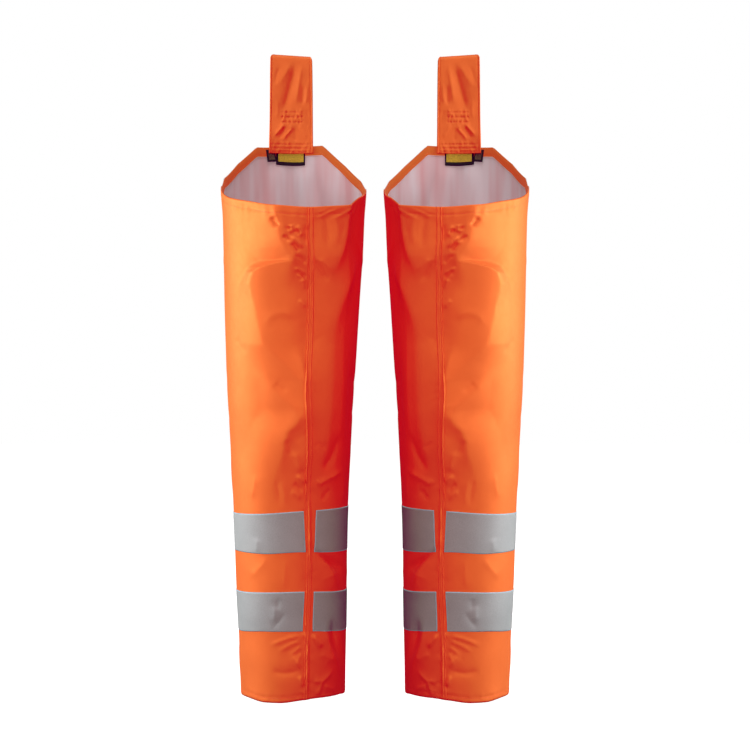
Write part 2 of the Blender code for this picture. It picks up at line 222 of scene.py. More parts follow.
# Creases of the cloth. path holds places on the view they are seen in: x and z on the front and back, y and
# z on the sides. height is how far the crease stands out, or in if negative, and left and right are how far
# it reaches on either side of its path.
CREASE = "path height left right"
FRONT_CREASES = table(
    CREASE,
    (
        (
            (133, -150), (126, -176), (120, -200), (117, -220), (113, -240), (107, -252), (101.5, -262),
            (103, -272), (106, -290), (108, -310),
        ),
        6.4, 26, 15,
    ),
    # shallow hollow along the seam of the thigh
    (((82, -150), (81, -220), (80, -290), (84, -360), (90, -430)), -4.4, 22, 50),
    # knot beside the seam
    (((127, -214), (122, -221), (117, -228)), -3.8, 4, 4),
    (((113, -238), (109, -241), (104, -246)), -3.4, 3, 2.5),
    (((104.5, -224), (103, -229), (104.5, -235)), 3.6, 2.4, 2.0),
    (((107.5, -226), (106, -232)), -2.7, 2, 2),
    (((99, -226), (95, -229), (92.5, -235), (95, -240)), 3.2, 2.2, 2.2),
    (((98, -230), (97, -235)), -2.3, 2, 2),
    (((106, -239), (98, -245), (90, -254)), 4.2, 2.4, 2.8),
    (((104, -247), (99, -252), (95, -259)), -3.4, 2.6, 2.6),
    (((88, -222), (86, -236), (87, -250)), -1.8, 3, 3),
    (((101, -277), (94, -281), (87, -285)), 2.3, 2.4, 2.2),
    (((98, -280), (92, -285), (86, -292)), -1.8, 2.2, 2.2),
    (((98, -284), (92, -290), (86.5, -298)), 2.0, 2.4, 2.4),
    (((93, -291), (90, -296), (86, -304)), 1.8, 2.4, 2.4),
    (((96, -318), (91, -321), (87, -328)), 1.8, 3, 3),
    (((100, -262), (92, -266), (87, -274)), -2.3, 3, 3),
    # right of the seam
    (((77.5, -267), (70.5, -279), (61, -296)), -2.7, 5, 2.2),
    (((74, -264), (66, -272), (56, -283)), 1.4, 3.5, 5),
    (((66, -206), (63, -228), (63, -256)), -1.3, 4, 4),
    (((56, -204), (53, -228), (56, -252)), 1.3, 4, 4),
    (((47, -206), (46, -222), (49, -240)), -1.0, 3.5, 3.5),
    (((37, -170), (39, -196), (41, -214), (45, -240), (53, -268), (60, -296)), 6.4, 26, 8),
    (((18, -250), (30, -280), (44, -306), (54, -338), (60, -372)), 6.0, 26, 12),
    (((52, -330), (58, -372), (62, -430), (66, -490), (72, -545)), 4.2, 22, 14),
    # middle of the leg
    (((137, -352), (126, -337), (112, -333), (98, -342)), 1.1, 8, 9),
    (((178, -366), (172, -369), (166, -376), (160, -384)), -0.7, 6, 6),
    (
        (
            (168, -400), (148, -411), (132, -421), (117, -435), (103, -449), (97.5, -462), (101, -472),
            (108.5, -479), (112, -492), (114, -506), (119, -526), (128, -546),
        ),
        4.0, 40, 12,
    ),
    (((100, -372), (92, -400), (89, -440), (89, -480), (88, -520), (88, -570)), 6.0, 32, 9),
    (((124, -420), (118, -425), (108, -432)), -1.4, 6, 5),
    (((112, -490), (107, -499), (104, -512)), -1.5, 6, 6),
    (((101, -504), (97, -518), (95, -534)), 1.1, 5, 5),
    (((150, -534), (152, -552), (156, -568)), 0.7, 5, 7),
    (((124, -541), (121, -556), (119, -577)), -0.9, 5, 5),
    (((117, -541), (114, -556), (112, -575)), 0.7, 4, 5),
    (((100, -536), (93, -541), (88, -547)), 2.1, 3, 3),
    (((103, -547), (97, -550), (91, -558)), -1.7, 3, 3),
    (((106, -557), (99, -560), (92, -568)), 1.5, 3.5, 3.5),
    (((80, -496), (72, -497), (66, -504)), -1.7, 3, 3),
    (((48, -480), (56, -512), (68, -534)), -3.4, 9, 8),
    (((40, -531), (58, -540), (76, -549)), 2.6, 5, 5),
    (((56, -554), (62, -562), (68, -570)), -1.7, 4, 4),
    (((76, -542), (71, -546), (66, -549)), 1.5, 3, 3),
    (((36, -528), (39, -552), (36, -585)), 1.4, 5, 6),
    # between the tapes, on them and below them
    (((133, -640), (146, -655), (158, -669)), 0.8, 8, 8),
    (((113, -640), (113, -660), (115, -680)), 0.7, 6, 6),
    (((84, -622), (68, -638), (53, -649), (40, -660), (20, -684)), -7.0, 12, 5),
    (((76, -622), (68, -638), (58, -656), (51, -674), (46, -700)), 3.6, 16, 8),
    (((70, -672), (54, -664), (36, -662)), 1.0, 6, 5),
    (((122, -690), (122, -700), (124, -706)), -1.1, 6, 6),
    (((127, -700), (126, -712), (128, -722)), 1.1, 6, 6),
    (((112, -708), (120, -720), (131, -732)), -1.0, 6, 5),
    (((147, -616), (149, -626), (148, -636)), 1.0, 8, 8),
    (((92, -738), (112, -743), (136, -753)), 1.2, 2.6, 3),
    (((92, -745), (106, -750), (124, -760)), 1.0, 2.6, 3),
    (((92, -752), (99, -757), (110, -766)), 0.9, 2.6, 2.6),
    (((92, -760), (96, -768), (100, -778)), 0.9, 4, 4),
    (((80, -736), (74, -746), (68, -756)), 2.8, 3, 4),
    (((56, -716), (52, -736), (48, -754), (43, -767), (36, -782), (28, -812)), -6.5, 9, 5),
    (((66, -716), (62, -738), (59, -754), (54, -767), (49, -780), (44, -812)), 3.6, 14, 7),
    (((44, -734), (40, -752), (34, -770)), 2.4, 5, 5),
    (((72, -762), (62, -768), (54, -776)), 1.2, 5, 6),
    (((134, -784), (112, -786), (92, -782)), -1.3, 6, 7),
    (((106, -762), (98, -772), (92, -780)), 1.5, 6, 4),
    (((95, -788), (93, -796), (90, -803)), 2.0, 3, 2.5),
    (((80, -800), (74, -798), (67, -798), (60, -792), (54, -784)), 2.2, 3.5, 6),
    (((67, -798), (70, -806), (73, -818)), 2.0, 3, 4),
    (((66, -802), (58, -808), (48, -816)), 1.5, 4, 4),
)
BACK_CREASES = table(
    CREASE,
    # folds that hang from the foot of the strap
    (((131, -124), (133, -160), (138, -205), (142, -250)), -5.0, 8, 12),
    (((118, -130), (116, -165), (112, -215)), 3.4, 7, 9),
    (((98, -126), (96, -160), (92, -205), (90, -250)), -4.8, 7, 9),
    (((84, -124), (76, -165), (68, -215)), 3.8, 9, 9),
    (((60, -150), (52, -190), (48, -240)), -1.6, 12, 10),
    (((152, -150), (160, -190), (158, -240)), 1.6, 12, 10),
    (((166, -286), (142, -300), (120, -322), (106, -350), (100, -384)), 4.2, 30, 8),
    (((60, -300), (78, -322), (92, -346)), 2.4, 9, 12),
    (((118, -336), (110, -352), (104, -372)), -1.6, 5, 5),
    (((168, -412), (134, -428), (104, -430), (66, -420)), -3.4, 12, 7),
    (((150, -440), (122, -446), (98, -440)), 1.5, 5, 5),
    (((56, -450), (86, -463), (118, -466), (158, -456)), -3.2, 7, 12),
    (((84, -474), (98, -486), (104, -500)), 1.4, 5, 5),
    (((156, -486), (128, -500), (96, -506)), -2.6, 7, 12),
    (((70, -518), (84, -544), (92, -577)), 2.0, 9, 12),
    (((142, -526), (132, -552), (128, -580)), 1.8, 7, 9),
    (((112, -530), (110, -552), (114, -574)), -1.2, 5, 5),
    (((58, -642), (76, -654), (98, -660)), 1.6, 7, 7),
    (((154, -644), (140, -660), (134, -680)), 1.6, 7, 5),
    (((62, -744), (76, -768), (92, -792)), 2.0, 9, 9),
    (((146, -742), (140, -764), (146, -792)), 1.8, 9, 7),
    (((110, -742), (116, -756), (112, -776)), -1.2, 5, 6),
    (((84, -796), (104, -790), (128, -798)), 1.2, 5, 7),
)
OUTER_CREASES = table(
    CREASE,
    (((-128, -252), (-108, -268), (-86, -274), (-56, -264)), 2.6, 14, 9),
    (((-56, -300), (-80, -340), (-88, -388)), 2.6, 18, 10),
    (((-140, -410), (-112, -420), (-80, -426), (-44, -414)), -3.0, 10, 8),
    (((-50, -450), (-96, -468), (-140, -462)), -2.8, 7, 10),
    (((-150, -496), (-128, -528), (-122, -570)), 2.2, 10, 7),
    (((-66, -640), (-86, -656), (-116, -664)), 1.8, 7, 6),
    (((-144, -746), (-120, -770), (-112, -804)), 2.0, 9, 7),
)
INNER_CREASES = table(
    CREASE,
    (((-176, -226), (-150, -250), (-118, -262), (-80, -258)), 1.8, 12, 10),
    (((-60, -290), (-84, -326), (-90, -370)), 1.6, 14, 12),
    (((-170, -408), (-130, -420), (-84, -418)), -2.0, 10, 10),
    (((-56, -446), (-96, -460), (-140, -452)), -1.8, 9, 10),
    (((-166, -520), (-150, -548), (-150, -580)), 1.6, 7, 7),
    (((-60, -500), (-84, -520), (-110, -526)), -1.2, 8, 8),
    (((-150, -648), (-120, -664), (-90, -668)), 1.0, 8, 8),
    (((-150, -744), (-132, -776), (-128, -806)), 1.4, 9, 9),
)

# Creases of the strap: places across it from its outer edge (-1) to its inner edge (1), and heights
STRAP_CREASES = table(
    CREASE,
    (((0.2, 14), (0.04, -10), (-0.2, -36), (-0.38, -58)), -3.8, 12, 8),
    (((0.52, 12), (0.36, -16), (0.2, -46)), 1.9, 5, 7),
    (((0.56, -16), (0.54, -34), (0.5, -47)), -1.6, 3.4, 5),
    (((0.76, -14), (0.74, -32), (0.66, -44)), 1.4, 4, 3),
    (((0.02, 12), (-0.3, -4), (-0.72, -22)), 1.3, 7, 8),
    (((-0.5, 10), (-0.7, -6), (-0.86, -20)), -1.0, 4, 4),
    (((-0.26, -69), (-0.5, -78), (-0.84, -89)), 2.6, 2.2, 4),
    (((-0.16, -70), (0.0, -77), (-0.24, -86), (-0.4, -94)), 2.2, 2.6, 2.2),
    (((-0.3, -74), (-0.4, -81), (-0.56, -92)), -1.6, 2.6, 2.6),
    (((0.34, -70), (0.54, -80), (0.76, -92)), 1.1, 4, 4),
    (((0.1, -74), (0.2, -86), (0.16, -96)), -0.9, 4, 4),
    (((0.7, -50), (0.8, -62), (0.84, -76)), -0.9, 3, 4),
    (((-0.7, -36), (-0.62, -50), (-0.7, -66)), 0.9, 4, 4),
)
STRAP_HALF = (STRAP_OUTER - STRAP_INNER) / 2

# Box of stitches that closes the strap's loop
BOX_HEAD, BOX_FOOT, BOX_OUTER, BOX_INNER = -54.4, -67.8, -0.41, 0.49
# Rows of stitches across the strap, and where each starts and stops
STRAP_STITCHES = table(
    "z start stop",
    (BOX_HEAD, BOX_OUTER, BOX_INNER),
    (-61.0, BOX_OUTER, BOX_INNER),
    (BOX_FOOT, BOX_OUTER, BOX_INNER),
    (-98.3, -0.93, 0.93),
    (-103.4, -0.93, 0.93),
    (-108.2, -0.93, 0.93),
)

# Puckers along the stitches of the top edge and of the hem: how far they spread, how many, how high
PUCKER_ROWS = table("spread count height", (6.0, 58, 1.35), (5.0, 44, 0.8))
# Puckers beside the seam: their lowest and highest place, and the distance at which the back of the leg is
# taken to lie, out of their reach
SEAM_PUCKER_START = -815.0
SEAM_PUCKER_STOP = -215.0
FAR_FROM_SEAM = 200
# Starts of the random draws of the leg's puckers and of the strap's gathers
PUCKER_SEED = 11
GATHER_SEED = 5
# Mesh of one stitch: rings along it, and the six sides round it, which two cells close at each end
THREAD_RINGS = 5
THREAD_SIDES = 6

# Labels: their edges, the border of their field, how they hang and their finish
LABELS = table(
    "name outer inner top foot side_border foot_border droop slant swing colour face",
    ("main_label", 134.0, 94.9, -104.0, -125.7, 2.8, 4.6, 0.9, -0.024, 0.0, "field", "ochre field"),
    ("size_label", 147.4, 135.4, -106.0, -122.6, 2.4, 3.0, 0.0, 0.1, 2.2, "bar", "olive bar"),
)

# Finishes, in metres: the pitch of the cloth's weave, and the span that a noise mostly fills
CLOTH_WEAVE = 0.0009
NOISE_SPAN = (0.3, 0.7)

# Stage, in metres: the camera's distance, height and width of view, the floor and the lamps
SENSOR = 36
EYE_DISTANCE = 2.5
EYE_LEVEL = -0.4106
VIEW_WIDTH = 0.975
FLOOR_HALF = 9
FLOOR_Z = -0.83
WHITE = (1, 1, 1)
LAMP = "name place aim size power colour"
LEG_LAMPS = table(
    LAMP,
    ("side light", (1.4, -0.1, -0.2), (0.106, -0.11, -0.42), (1.5, 0.85), 37, WHITE),
    ("strip light", (1.03, -0.88, 0.22), (0.106, -0.11, -0.25), (0.35, 0.7), 0.5, WHITE),
)
LAMPS = table(
    LAMP,
    ("front light", (0, -2.4, 0.3), (0, 0, -0.4), (1.6, 1.6), 15, (1.0, 0.88, 0.90)),
    ("bounce between the legs", (0, -0.5, -0.5), (0, 0, -0.5), (0.25, 0.8), 1.0, (1.0, 0.52, 0.50)),
    ("top light", (0, -0.6, 1.6), (0, 0, -0.3), (1.6, 1.2), 28, WHITE),
    ("back light", (0, 2.2, 0.8), (0, 0, -0.4), (1.8, 1.2), 22, WHITE),
)


class ChapsSizes(bpy.types.PropertyGroup):
    """Sizes of the cloth work."""

    cloth: FloatProperty(
        name="Cloth", description="Thickness of the coated cloth", default=0.0006, unit="LENGTH"
    )
    tape: FloatProperty(
        name="Tape", description="Thickness of the reflective tape", default=0.0004, unit="LENGTH"
    )
    tape_edge: FloatProperty(
        name="Tape edge", description="Width of the pale edge of the tape", default=0.0011, unit="LENGTH"
    )
    strap: FloatProperty(
        name="Strap", description="Thickness of the belt strap", default=0.0015, unit="LENGTH"
    )
    stitch: FloatProperty(name="Stitch", description="Length of one stitch", default=0.0026, unit="LENGTH")
    gap: FloatProperty(
        name="Stitch gap", description="Cloth between two stitches", default=0.0008, unit="LENGTH"
    )
    thread: FloatProperty(name="Thread", description="Thickness of the thread", default=0.0004, unit="LENGTH")
    crease: FloatProperty(
        name="Creases", description="Height of the creases against the tables", default=1.0, subtype="FACTOR"
    )


class ChapsColours(bpy.types.PropertyGroup):
    """Colours of the finishes."""

    cloth: FloatVectorProperty(
        name="Cloth", description="Coated outside of the cloth", subtype="COLOR", default=(0.50, 0.146, 0.033)
    )
    coating: FloatVectorProperty(
        name="Inside", description="Pale inside of the cloth", subtype="COLOR", default=(0.53, 0.455, 0.478)
    )
    tape: FloatVectorProperty(
        name="Tape", description="Reflective tape", subtype="COLOR", default=(0.262, 0.275, 0.277)
    )
    tape_edge: FloatVectorProperty(
        name="Tape edge", description="Edge of the tape", subtype="COLOR", default=(0.19, 0.33, 0.41)
    )
    thread: FloatVectorProperty(
        name="Thread", description="Sewing thread", subtype="COLOR", default=(0.74, 0.07, 0.02)
    )
    label: FloatVectorProperty(
        name="Label", description="Ground of the labels", subtype="COLOR", default=(0.010, 0.036, 0.009)
    )
    field: FloatVectorProperty(
        name="Label field", description="Field of the main label", subtype="COLOR", default=(0.50, 0.33, 0.03)
    )
    bar: FloatVectorProperty(
        name="Label bar", description="Bar of the size label", subtype="COLOR", default=(0.10, 0.09, 0.03)
    )


LENGTHS = ("cloth", "tape", "tape_edge", "strap", "stitch", "gap", "thread")
Sizes = namedtuple("Sizes", (*LENGTHS, "crease"))


def sizes():
    """Lengths of the scene in millimetres, and the share of the creases' height."""
    group = bpy.context.scene.chaps_sizes
    return Sizes(*(getattr(group, key) / MM for key in LENGTHS), group.crease)


# --- reading the tables -----------------------------------------------------------------------------


def read(rows, key, value, at):
    """Values read on straight lines between the rows of a table."""
    return np.interp(at, [getattr(row, key) for row in rows], [getattr(row, value) for row in rows])


def read_smooth(rows, key, value, at):
    """Values read on a smooth curve through the rows of a table, which never swings past them."""
    xs = np.array([getattr(row, key) for row in rows], float)
    ys = np.array([getattr(row, value) for row in rows], float)
    step, rise = np.diff(xs), np.diff(ys) / np.diff(xs)
    slope = np.zeros(len(xs))
    same = rise[1:] * rise[:-1] > 0
    a, b = 2 * step[1:] + step[:-1], step[1:] + 2 * step[:-1]
    mean = (a + b) / (a / np.where(same, rise[:-1], 1) + b / np.where(same, rise[1:], 1))
    slope[1:-1] = np.where(same, mean, 0)
    slope[0], slope[-1] = rise[0], rise[-1]
    at = np.clip(at, xs[0], xs[-1])
    i = np.clip(np.searchsorted(xs, at, side="right") - 1, 0, len(step) - 1)
    t = (at - xs[i]) / step[i]
    h = step[i]
    return (
        ys[i] * (1 + 2 * t) * (1 - t) ** 2
        + slope[i] * h * t * (1 - t) ** 2
        + ys[i + 1] * t * t * (3 - 2 * t)
        + slope[i + 1] * h * t * t * (t - 1)
    )


def smooth_step(t):
    """0 to 1 with soft ends as t goes from 0 to 1."""
    t = np.clip(t, 0, 1)
    return t * t * (3 - 2 * t)


def bell(off, width):
    """1 at no distance off, and less as it grows against a width."""
    return np.exp(-((off / width) ** 2))


def powered(value, power):
    """Power of a number that keeps its sign."""
    return np.sign(value) * np.abs(value) ** power


def lengths_along(line):
    """Length along a line up to each of its points."""
    return np.concatenate([[0], np.cumsum(np.linalg.norm(np.diff(line, axis=0), axis=1))])


# --- grid of the leg --------------------------------------------------------------------------------


def tube_at(z):
    """Middle x, half width, half depth and middle y of the leg tube at heights."""
    outer, inner = read_smooth(SECTIONS, "z", "outer", z), read_smooth(SECTIONS, "z", "inner", z)
    depth, back = read_smooth(SECTIONS, "z", "half_depth", z), read_smooth(SECTIONS, "z", "set_back", z)
    return (outer + inner) / 2, (outer - inner) / 2, depth, LEG_MID_Y + back


def angle_of(x, z):
    """Angle at which the front of the tube reaches x, counted from the front by the outer side."""
    middle, half, _, _ = tube_at(z)
    return np.arcsin(powered(np.clip((x - middle) / half, -1, 1), ROUNDNESS / 2))


def column_stops(z):
    """Angles of the ends of the stretches round the leg, at heights."""
    seam = read_smooth(SEAM, "z", "x", z)
    outer_end, inner_end = read(SEAM, "z", "outer_end", z), read(SEAM, "z", "inner_end", z)
    front = [angle_of(seam + off, z) for off in (-inner_end, -LAP_HALF, LAP_HALF, outer_end)]
    level = np.full_like(z, BACK_TOP_Z)
    corners = (BACK_CORNER_OUTER, STRAP_OUTER, STRAP_INNER, BACK_CORNER_INNER)
    back = [np.pi - angle_of(x, level) for x in corners]
    outer_side, inner_side = np.full_like(z, np.pi / 2), np.full_like(z, np.pi * 1.5)
    return [*front, outer_side, *back, inner_side, front[0] + 2 * np.pi]


def column_angles(z):
    """Angle of every column at its own height; z has a value for each column."""
    stops = column_stops(z)
    angles, column = np.zeros_like(z), 0
    for count, start, stop in zip(STRETCHES, stops, stops[1:]):
        for step in range(count):
            share = step / count
            angles[..., column] = start[..., column] * (1 - share) + stop[..., column] * share
            column += 1
    return angles


def edge_height(front, back, angle):
    """Height of an edge round the leg, from its front table and its back: a table, a level or, with None, a
    plain run from side to side."""
    share = powered(np.sin(angle), 2 / ROUNDNESS)
    ahead = read_smooth(front, "share", "z", share)
    if isinstance(back, tuple):
        behind = read(back, "share", "z", share)
    elif back is None:
        behind = (front[0].z + front[-1].z) / 2 + (front[-1].z - front[0].z) / 2 * np.sin(angle)
    else:
        behind = np.full_like(share, back)
    return np.where(np.cos(angle) > 0, ahead, behind)


def grid_levels(angle):
    """Heights of the ends of the rises at the angles of the columns."""
    tapes = (LOWER_TAPE_FOOT, LOWER_TAPE_TOP, UPPER_TAPE_FOOT, UPPER_TAPE_TOP)
    return [
        edge_height(HEM_FRONT, HEM_BACK_Z, angle),
        *(edge_height(edge, None, angle) for edge in tapes),
        np.full_like(angle, KNOT_LEVEL),
        np.full_like(angle, THIGH_LEVEL),
        edge_height(TOP_FRONT, TOP_BACK, angle),
    ]


def leg_grid():
    """Angles and heights of the cloth's grid, a row for each level from the hem up."""
    rows = []
    for rise, count in enumerate(RISES):
        last = rise == len(RISES) - 1
        for step in range(count + last):
            share = step / count
            z = np.full(COLUMNS, FIRST_LEVELS[rise] * (1 - share) + FIRST_LEVELS[rise + 1] * share)
            for _ in range(3):
                angle = column_angles(z)
                levels = grid_levels(angle)
                z = levels[rise] * (1 - share) + levels[rise + 1] * share
            rows.append((column_angles(z), z))
    return np.array([row[0] for row in rows]), np.array([row[1] for row in rows])


# --- creases ----------------------------------------------------------------------------------------


def curve_through(path, steps=8):
    """Points of a smooth curve through the places of a path."""
    p = np.array(path, float)
    p = np.vstack([2 * p[0] - p[1], p, 2 * p[-1] - p[-2]])
    made = []
    for i in range(1, len(p) - 2):
        straight = p[i + 1] - p[i - 1]
        bend = 2 * p[i - 1] - 5 * p[i] + 4 * p[i + 1] - p[i + 2]
        twist = 3 * p[i] - p[i - 1] - 3 * p[i + 1] + p[i + 2]
        for t in np.arange(steps) / steps:
            made.append(0.5 * (2 * p[i] + straight * t + bend * t * t + twist * t**3))
    made.append(p[-2])
    return np.array(made)


def crease_height(crease, a, z):
    """How far one crease pushes the cloth out at places of its view."""
    line = curve_through(crease.path)
    reach = 5 * max(crease.left, crease.right)
    low, high = line.min(0) - reach, line.max(0) + reach
    near = (a > low[0]) & (a < high[0]) & (z > low[1]) & (z < high[1])
    out = np.zeros_like(a)
    if not near.any():
        return out
    p = np.stack([a[near], z[near]], -1)
    best, side, along = np.full(len(p), 1e9), np.ones(len(p)), np.zeros(len(p))
    legs = len(line) - 1
    for i in range(legs):
        way = line[i + 1] - line[i]
        off = p - line[i]
        t = np.clip((off @ way) / (way @ way), 0, 1)
        away = off - t[:, None] * way
        d = np.hypot(away[:, 0], away[:, 1])
        closer = d < best
        best = np.where(closer, d, best)
        side = np.where(closer, np.sign(way[0] * off[:, 1] - way[1] * off[:, 0]), side)
        along = np.where(closer, (i + t) / legs, along)
    narrow = min(crease.left, crease.right)
    tip = 0.3 + 0.09 * narrow + 0.014 * narrow**2
    width = np.where(side > 0, crease.left, crease.right)
    across = np.exp(-(np.sqrt(best**2 + tip**2) - tip) / (0.55 * width))
    ends = smooth_step(along / 0.3) * smooth_step((1 - along) / 0.3)
    out[near] = crease.height * across * ends
    return out


def seen(share):
    """How much of a view's creases shows on cloth, from the share of its way out that faces the view."""
    return smooth_step((share - 0.15) / 0.35)


def plateau_relief(x, z):
    """Raised flat of the front of the thigh and knee, which falls away outwards from its border."""
    levels = [-row.z for row in PLATEAU]
    border, height, fall = (
        np.interp(-z, levels, [getattr(row, key) for row in PLATEAU]) for key in ("border", "height", "fall")
    )
    off = np.maximum(np.hypot(x - border, PLATEAU_ROUND) - PLATEAU_ROUND, 0) * (x > border)
    down = np.clip(1 - off / fall, 0, 1) ** 1.3
    return height * down * smooth_step((x - PLATEAU_INNER_X) / PLATEAU_INNER_RISE)


def crease_relief(x, y, z, out_x, out_y):
    """How far all creases push the cloth out."""
    total = np.zeros_like(x)
    for creases, a, share in (
        (FRONT_CREASES, x, -out_y),
        (BACK_CREASES, x, out_y),
        (OUTER_CREASES, y, out_x),
        (INNER_CREASES, y, -out_x),
    ):
        total += sum(crease_height(crease, a, z) for crease in creases) * seen(share)
    return total + plateau_relief(x, z) * seen(-out_y)


def pucker_relief(around, z, top, low, seam_away):
    """Small puckers along the rows of stitches: at the top edge, at the hem and beside the seam."""
    rng = random.Random(PUCKER_SEED)
    total = np.zeros_like(z)
    for line, row in zip((top - TOP_STITCH_DEPTH, low + LOW_STITCH_HEIGHT), PUCKER_ROWS):
        whole = around.max()
        fall = bell(z - line, row.spread)
        for i in range(row.count):
            place = whole * (i + rng.uniform(0.15, 0.85)) / row.count
            wide, tall = rng.uniform(2.4, 4.6), row.height * rng.uniform(-0.5, 1.0)
            total += tall * fall * bell(around - place, wide)
        total -= 0.5 * bell(z - line, 1.5)
    place = SEAM_PUCKER_START
    while place < SEAM_PUCKER_STOP:
        side, wide, tall = rng.choice((-1, 1)), rng.uniform(1.8, 4.2), rng.uniform(-0.8, 0.8)
        lean, long = rng.uniform(-0.9, 0.9), rng.uniform(6, 15)
        away = seam_away * side
        fall = np.where(away > 0, bell(away, long) * np.clip(away / 4.0, 0, 1), 0)
        total += tall * fall * bell(z - place + lean * away, wide)
        place += rng.uniform(5, 12)
    return total


def wave_relief(x, y, z):
    """Slow unevenness of the cloth, a few long waves that never repeat on one leg."""
    return (
        0.55 * np.sin(z / 47 + 1.3 * np.sin(x / 41) + y / 63)
        + 0.35 * np.sin(z / 23 + x / 31 + 1.7 * np.sin(y / 37))
        + 0.18 * np.sin(z / 11.3 - x / 14 + 2.1 * np.sin(z / 57 + y / 29))
    )


def ways_out(points, ring=True):
    """Way out of the cloth at each point of a grid."""
    up = np.gradient(points, axis=0)
    if ring:
        round_it = np.roll(points, -1, axis=1) - np.roll(points, 1, axis=1)
    else:
        round_it = np.gradient(points, axis=1)
    way = np.cross(round_it, up)
    return way / np.maximum(np.linalg.norm(way, axis=-1, keepdims=True), 1e-9)


def lowest_near(relief, reach):
    """Lowest relief within a few cells of each place of a ring grid, sideways and then up and down."""
    low = relief
    for step in range(-reach, reach + 1):
        low = np.minimum(low, np.roll(relief, step, axis=1))
    wide = low.copy()
    for step in range(1, reach + 1):
        wide[step:] = np.minimum(wide[step:], low[:-step])
        wide[:-step] = np.minimum(wide[:-step], low[step:])
    return wide


class Leg:
    """The cloth of one leg as grids of points: its creased outside, its inside and its girth in the flat."""

    made = None

    def __init__(self):
        size = sizes()
        angle, z = leg_grid()
        middle, half, depth, middle_y = tube_at(z)
        x = middle + half * powered(np.sin(angle), 2 / ROUNDNESS)
        y = middle_y - depth * powered(np.cos(angle), 2 / ROUNDNESS)
        plain = np.stack([x, y, z], -1)
        out = ways_out(plain)
        step = np.linalg.norm(plain - np.roll(plain, 1, axis=1), axis=-1)
        step[:, 0] = 0
        self.around = np.cumsum(step, axis=1)
        seam_away = np.where(np.cos(angle) > 0, x - read_smooth(SEAM, "z", "x", z), FAR_FROM_SEAM)
        relief = crease_relief(x, y, z, out[..., 0], out[..., 1])
        relief += pucker_relief(self.around, z, z[-1], z[0], seam_away) + wave_relief(x, y, z)
        # lower creases on the sides, whose plain form is the outline of the leg
        relief *= size.crease * (1 - 0.65 * np.clip((np.abs(out[..., 0]) - 0.8) / 0.15, 0, 1))
        self.outside = plain + out * relief[..., None]
        self.ways = ways_out(self.outside)
        self.inside = plain + out * (lowest_near(relief, 2) - size.cloth)[..., None]
        self.inside[[0, -1]] = self.outside[[0, -1]] - self.ways[[0, -1]] * size.cloth

    @classmethod
    def get(cls, fresh=False):
        """The leg's grids, made afresh for the leg panels and shared by what is sewn to them."""
        if fresh or cls.made is None:
            cls.made = cls()
        return cls.made


# --- meshes -----------------------------------------------------------------------------------------


def quads(rows, columns, ring, flip=False):
    """Corner numbers of the cells of a grid."""
    r, c = np.meshgrid(np.arange(rows - 1), np.arange(columns if ring else columns - 1), indexing="ij")
    r, c = r.ravel(), c.ravel()
    nxt = (c + 1) % columns
    cells = np.stack([r * columns + c, r * columns + nxt, (r + 1) * columns + nxt, (r + 1) * columns + c], -1)
    return cells[:, ::-1] if flip else cells


def add_mesh(name, points, faces, side, finishes, slots, flat):
    """Object from points in millimetres, mirrored onto its leg, with the finish of each face and where its
    points lie in the flat."""
    verts = np.array(points, float).reshape(-1, 3) * MM
    verts[:, 0] *= side
    mesh = bpy.data.meshes.new(name)
    mesh.from_pydata(verts.tolist(), [], [face[::side] for face in faces])
    for material in finishes:
        mesh.materials.append(material)
    mesh.polygons.foreach_set("material_index", np.array(slots, np.int32))
    layer = mesh.uv_layers.new(name="flat")
    corners = np.zeros(len(mesh.loops), np.int32)
    mesh.loops.foreach_get("vertex_index", corners)
    layer.data.foreach_set("uv", (np.array(flat, float).reshape(-1, 2)[corners] * MM).ravel())
    mesh.shade_smooth()
    mesh.update()
    item = bpy.data.objects.new(name, mesh)
    bpy.context.scene.collection.objects.link(item)
    return item


def add_cloth(name, outside, inside, side, finishes, flat, ring=False, slots=None, inside_slots=None):
    """Closed sheet of cloth between an outside and an inside grid, which meet at its borders. The outside has
    the first finish and the inside the last one, where no slots are given."""
    rows, columns = outside.shape[:2]
    border = np.zeros((rows, columns), bool)
    border[[0, -1]] = True
    if not ring:
        border[:, [0, -1]] = True
    outer = np.where(border[..., None], (outside + inside) / 2, outside)
    inner_number = np.arange(rows * columns).reshape(rows, columns)
    inner_number[~border] = rows * columns + np.arange((~border).sum())
    front = quads(rows, columns, ring)
    back = inner_number.ravel()[quads(rows, columns, ring, flip=True)]
    slots = np.zeros(len(front), int) if slots is None else slots
    inside_slots = np.full(len(back), len(finishes) - 1) if inside_slots is None else inside_slots
    return add_mesh(
        name,
        np.vstack([outer.reshape(-1, 3), inside[~border]]),
        np.vstack([front, back]).tolist(),
        side,
        finishes,
        np.concatenate([slots, inside_slots]),
        np.vstack([flat.reshape(-1, 2), flat[~border]]),
    )


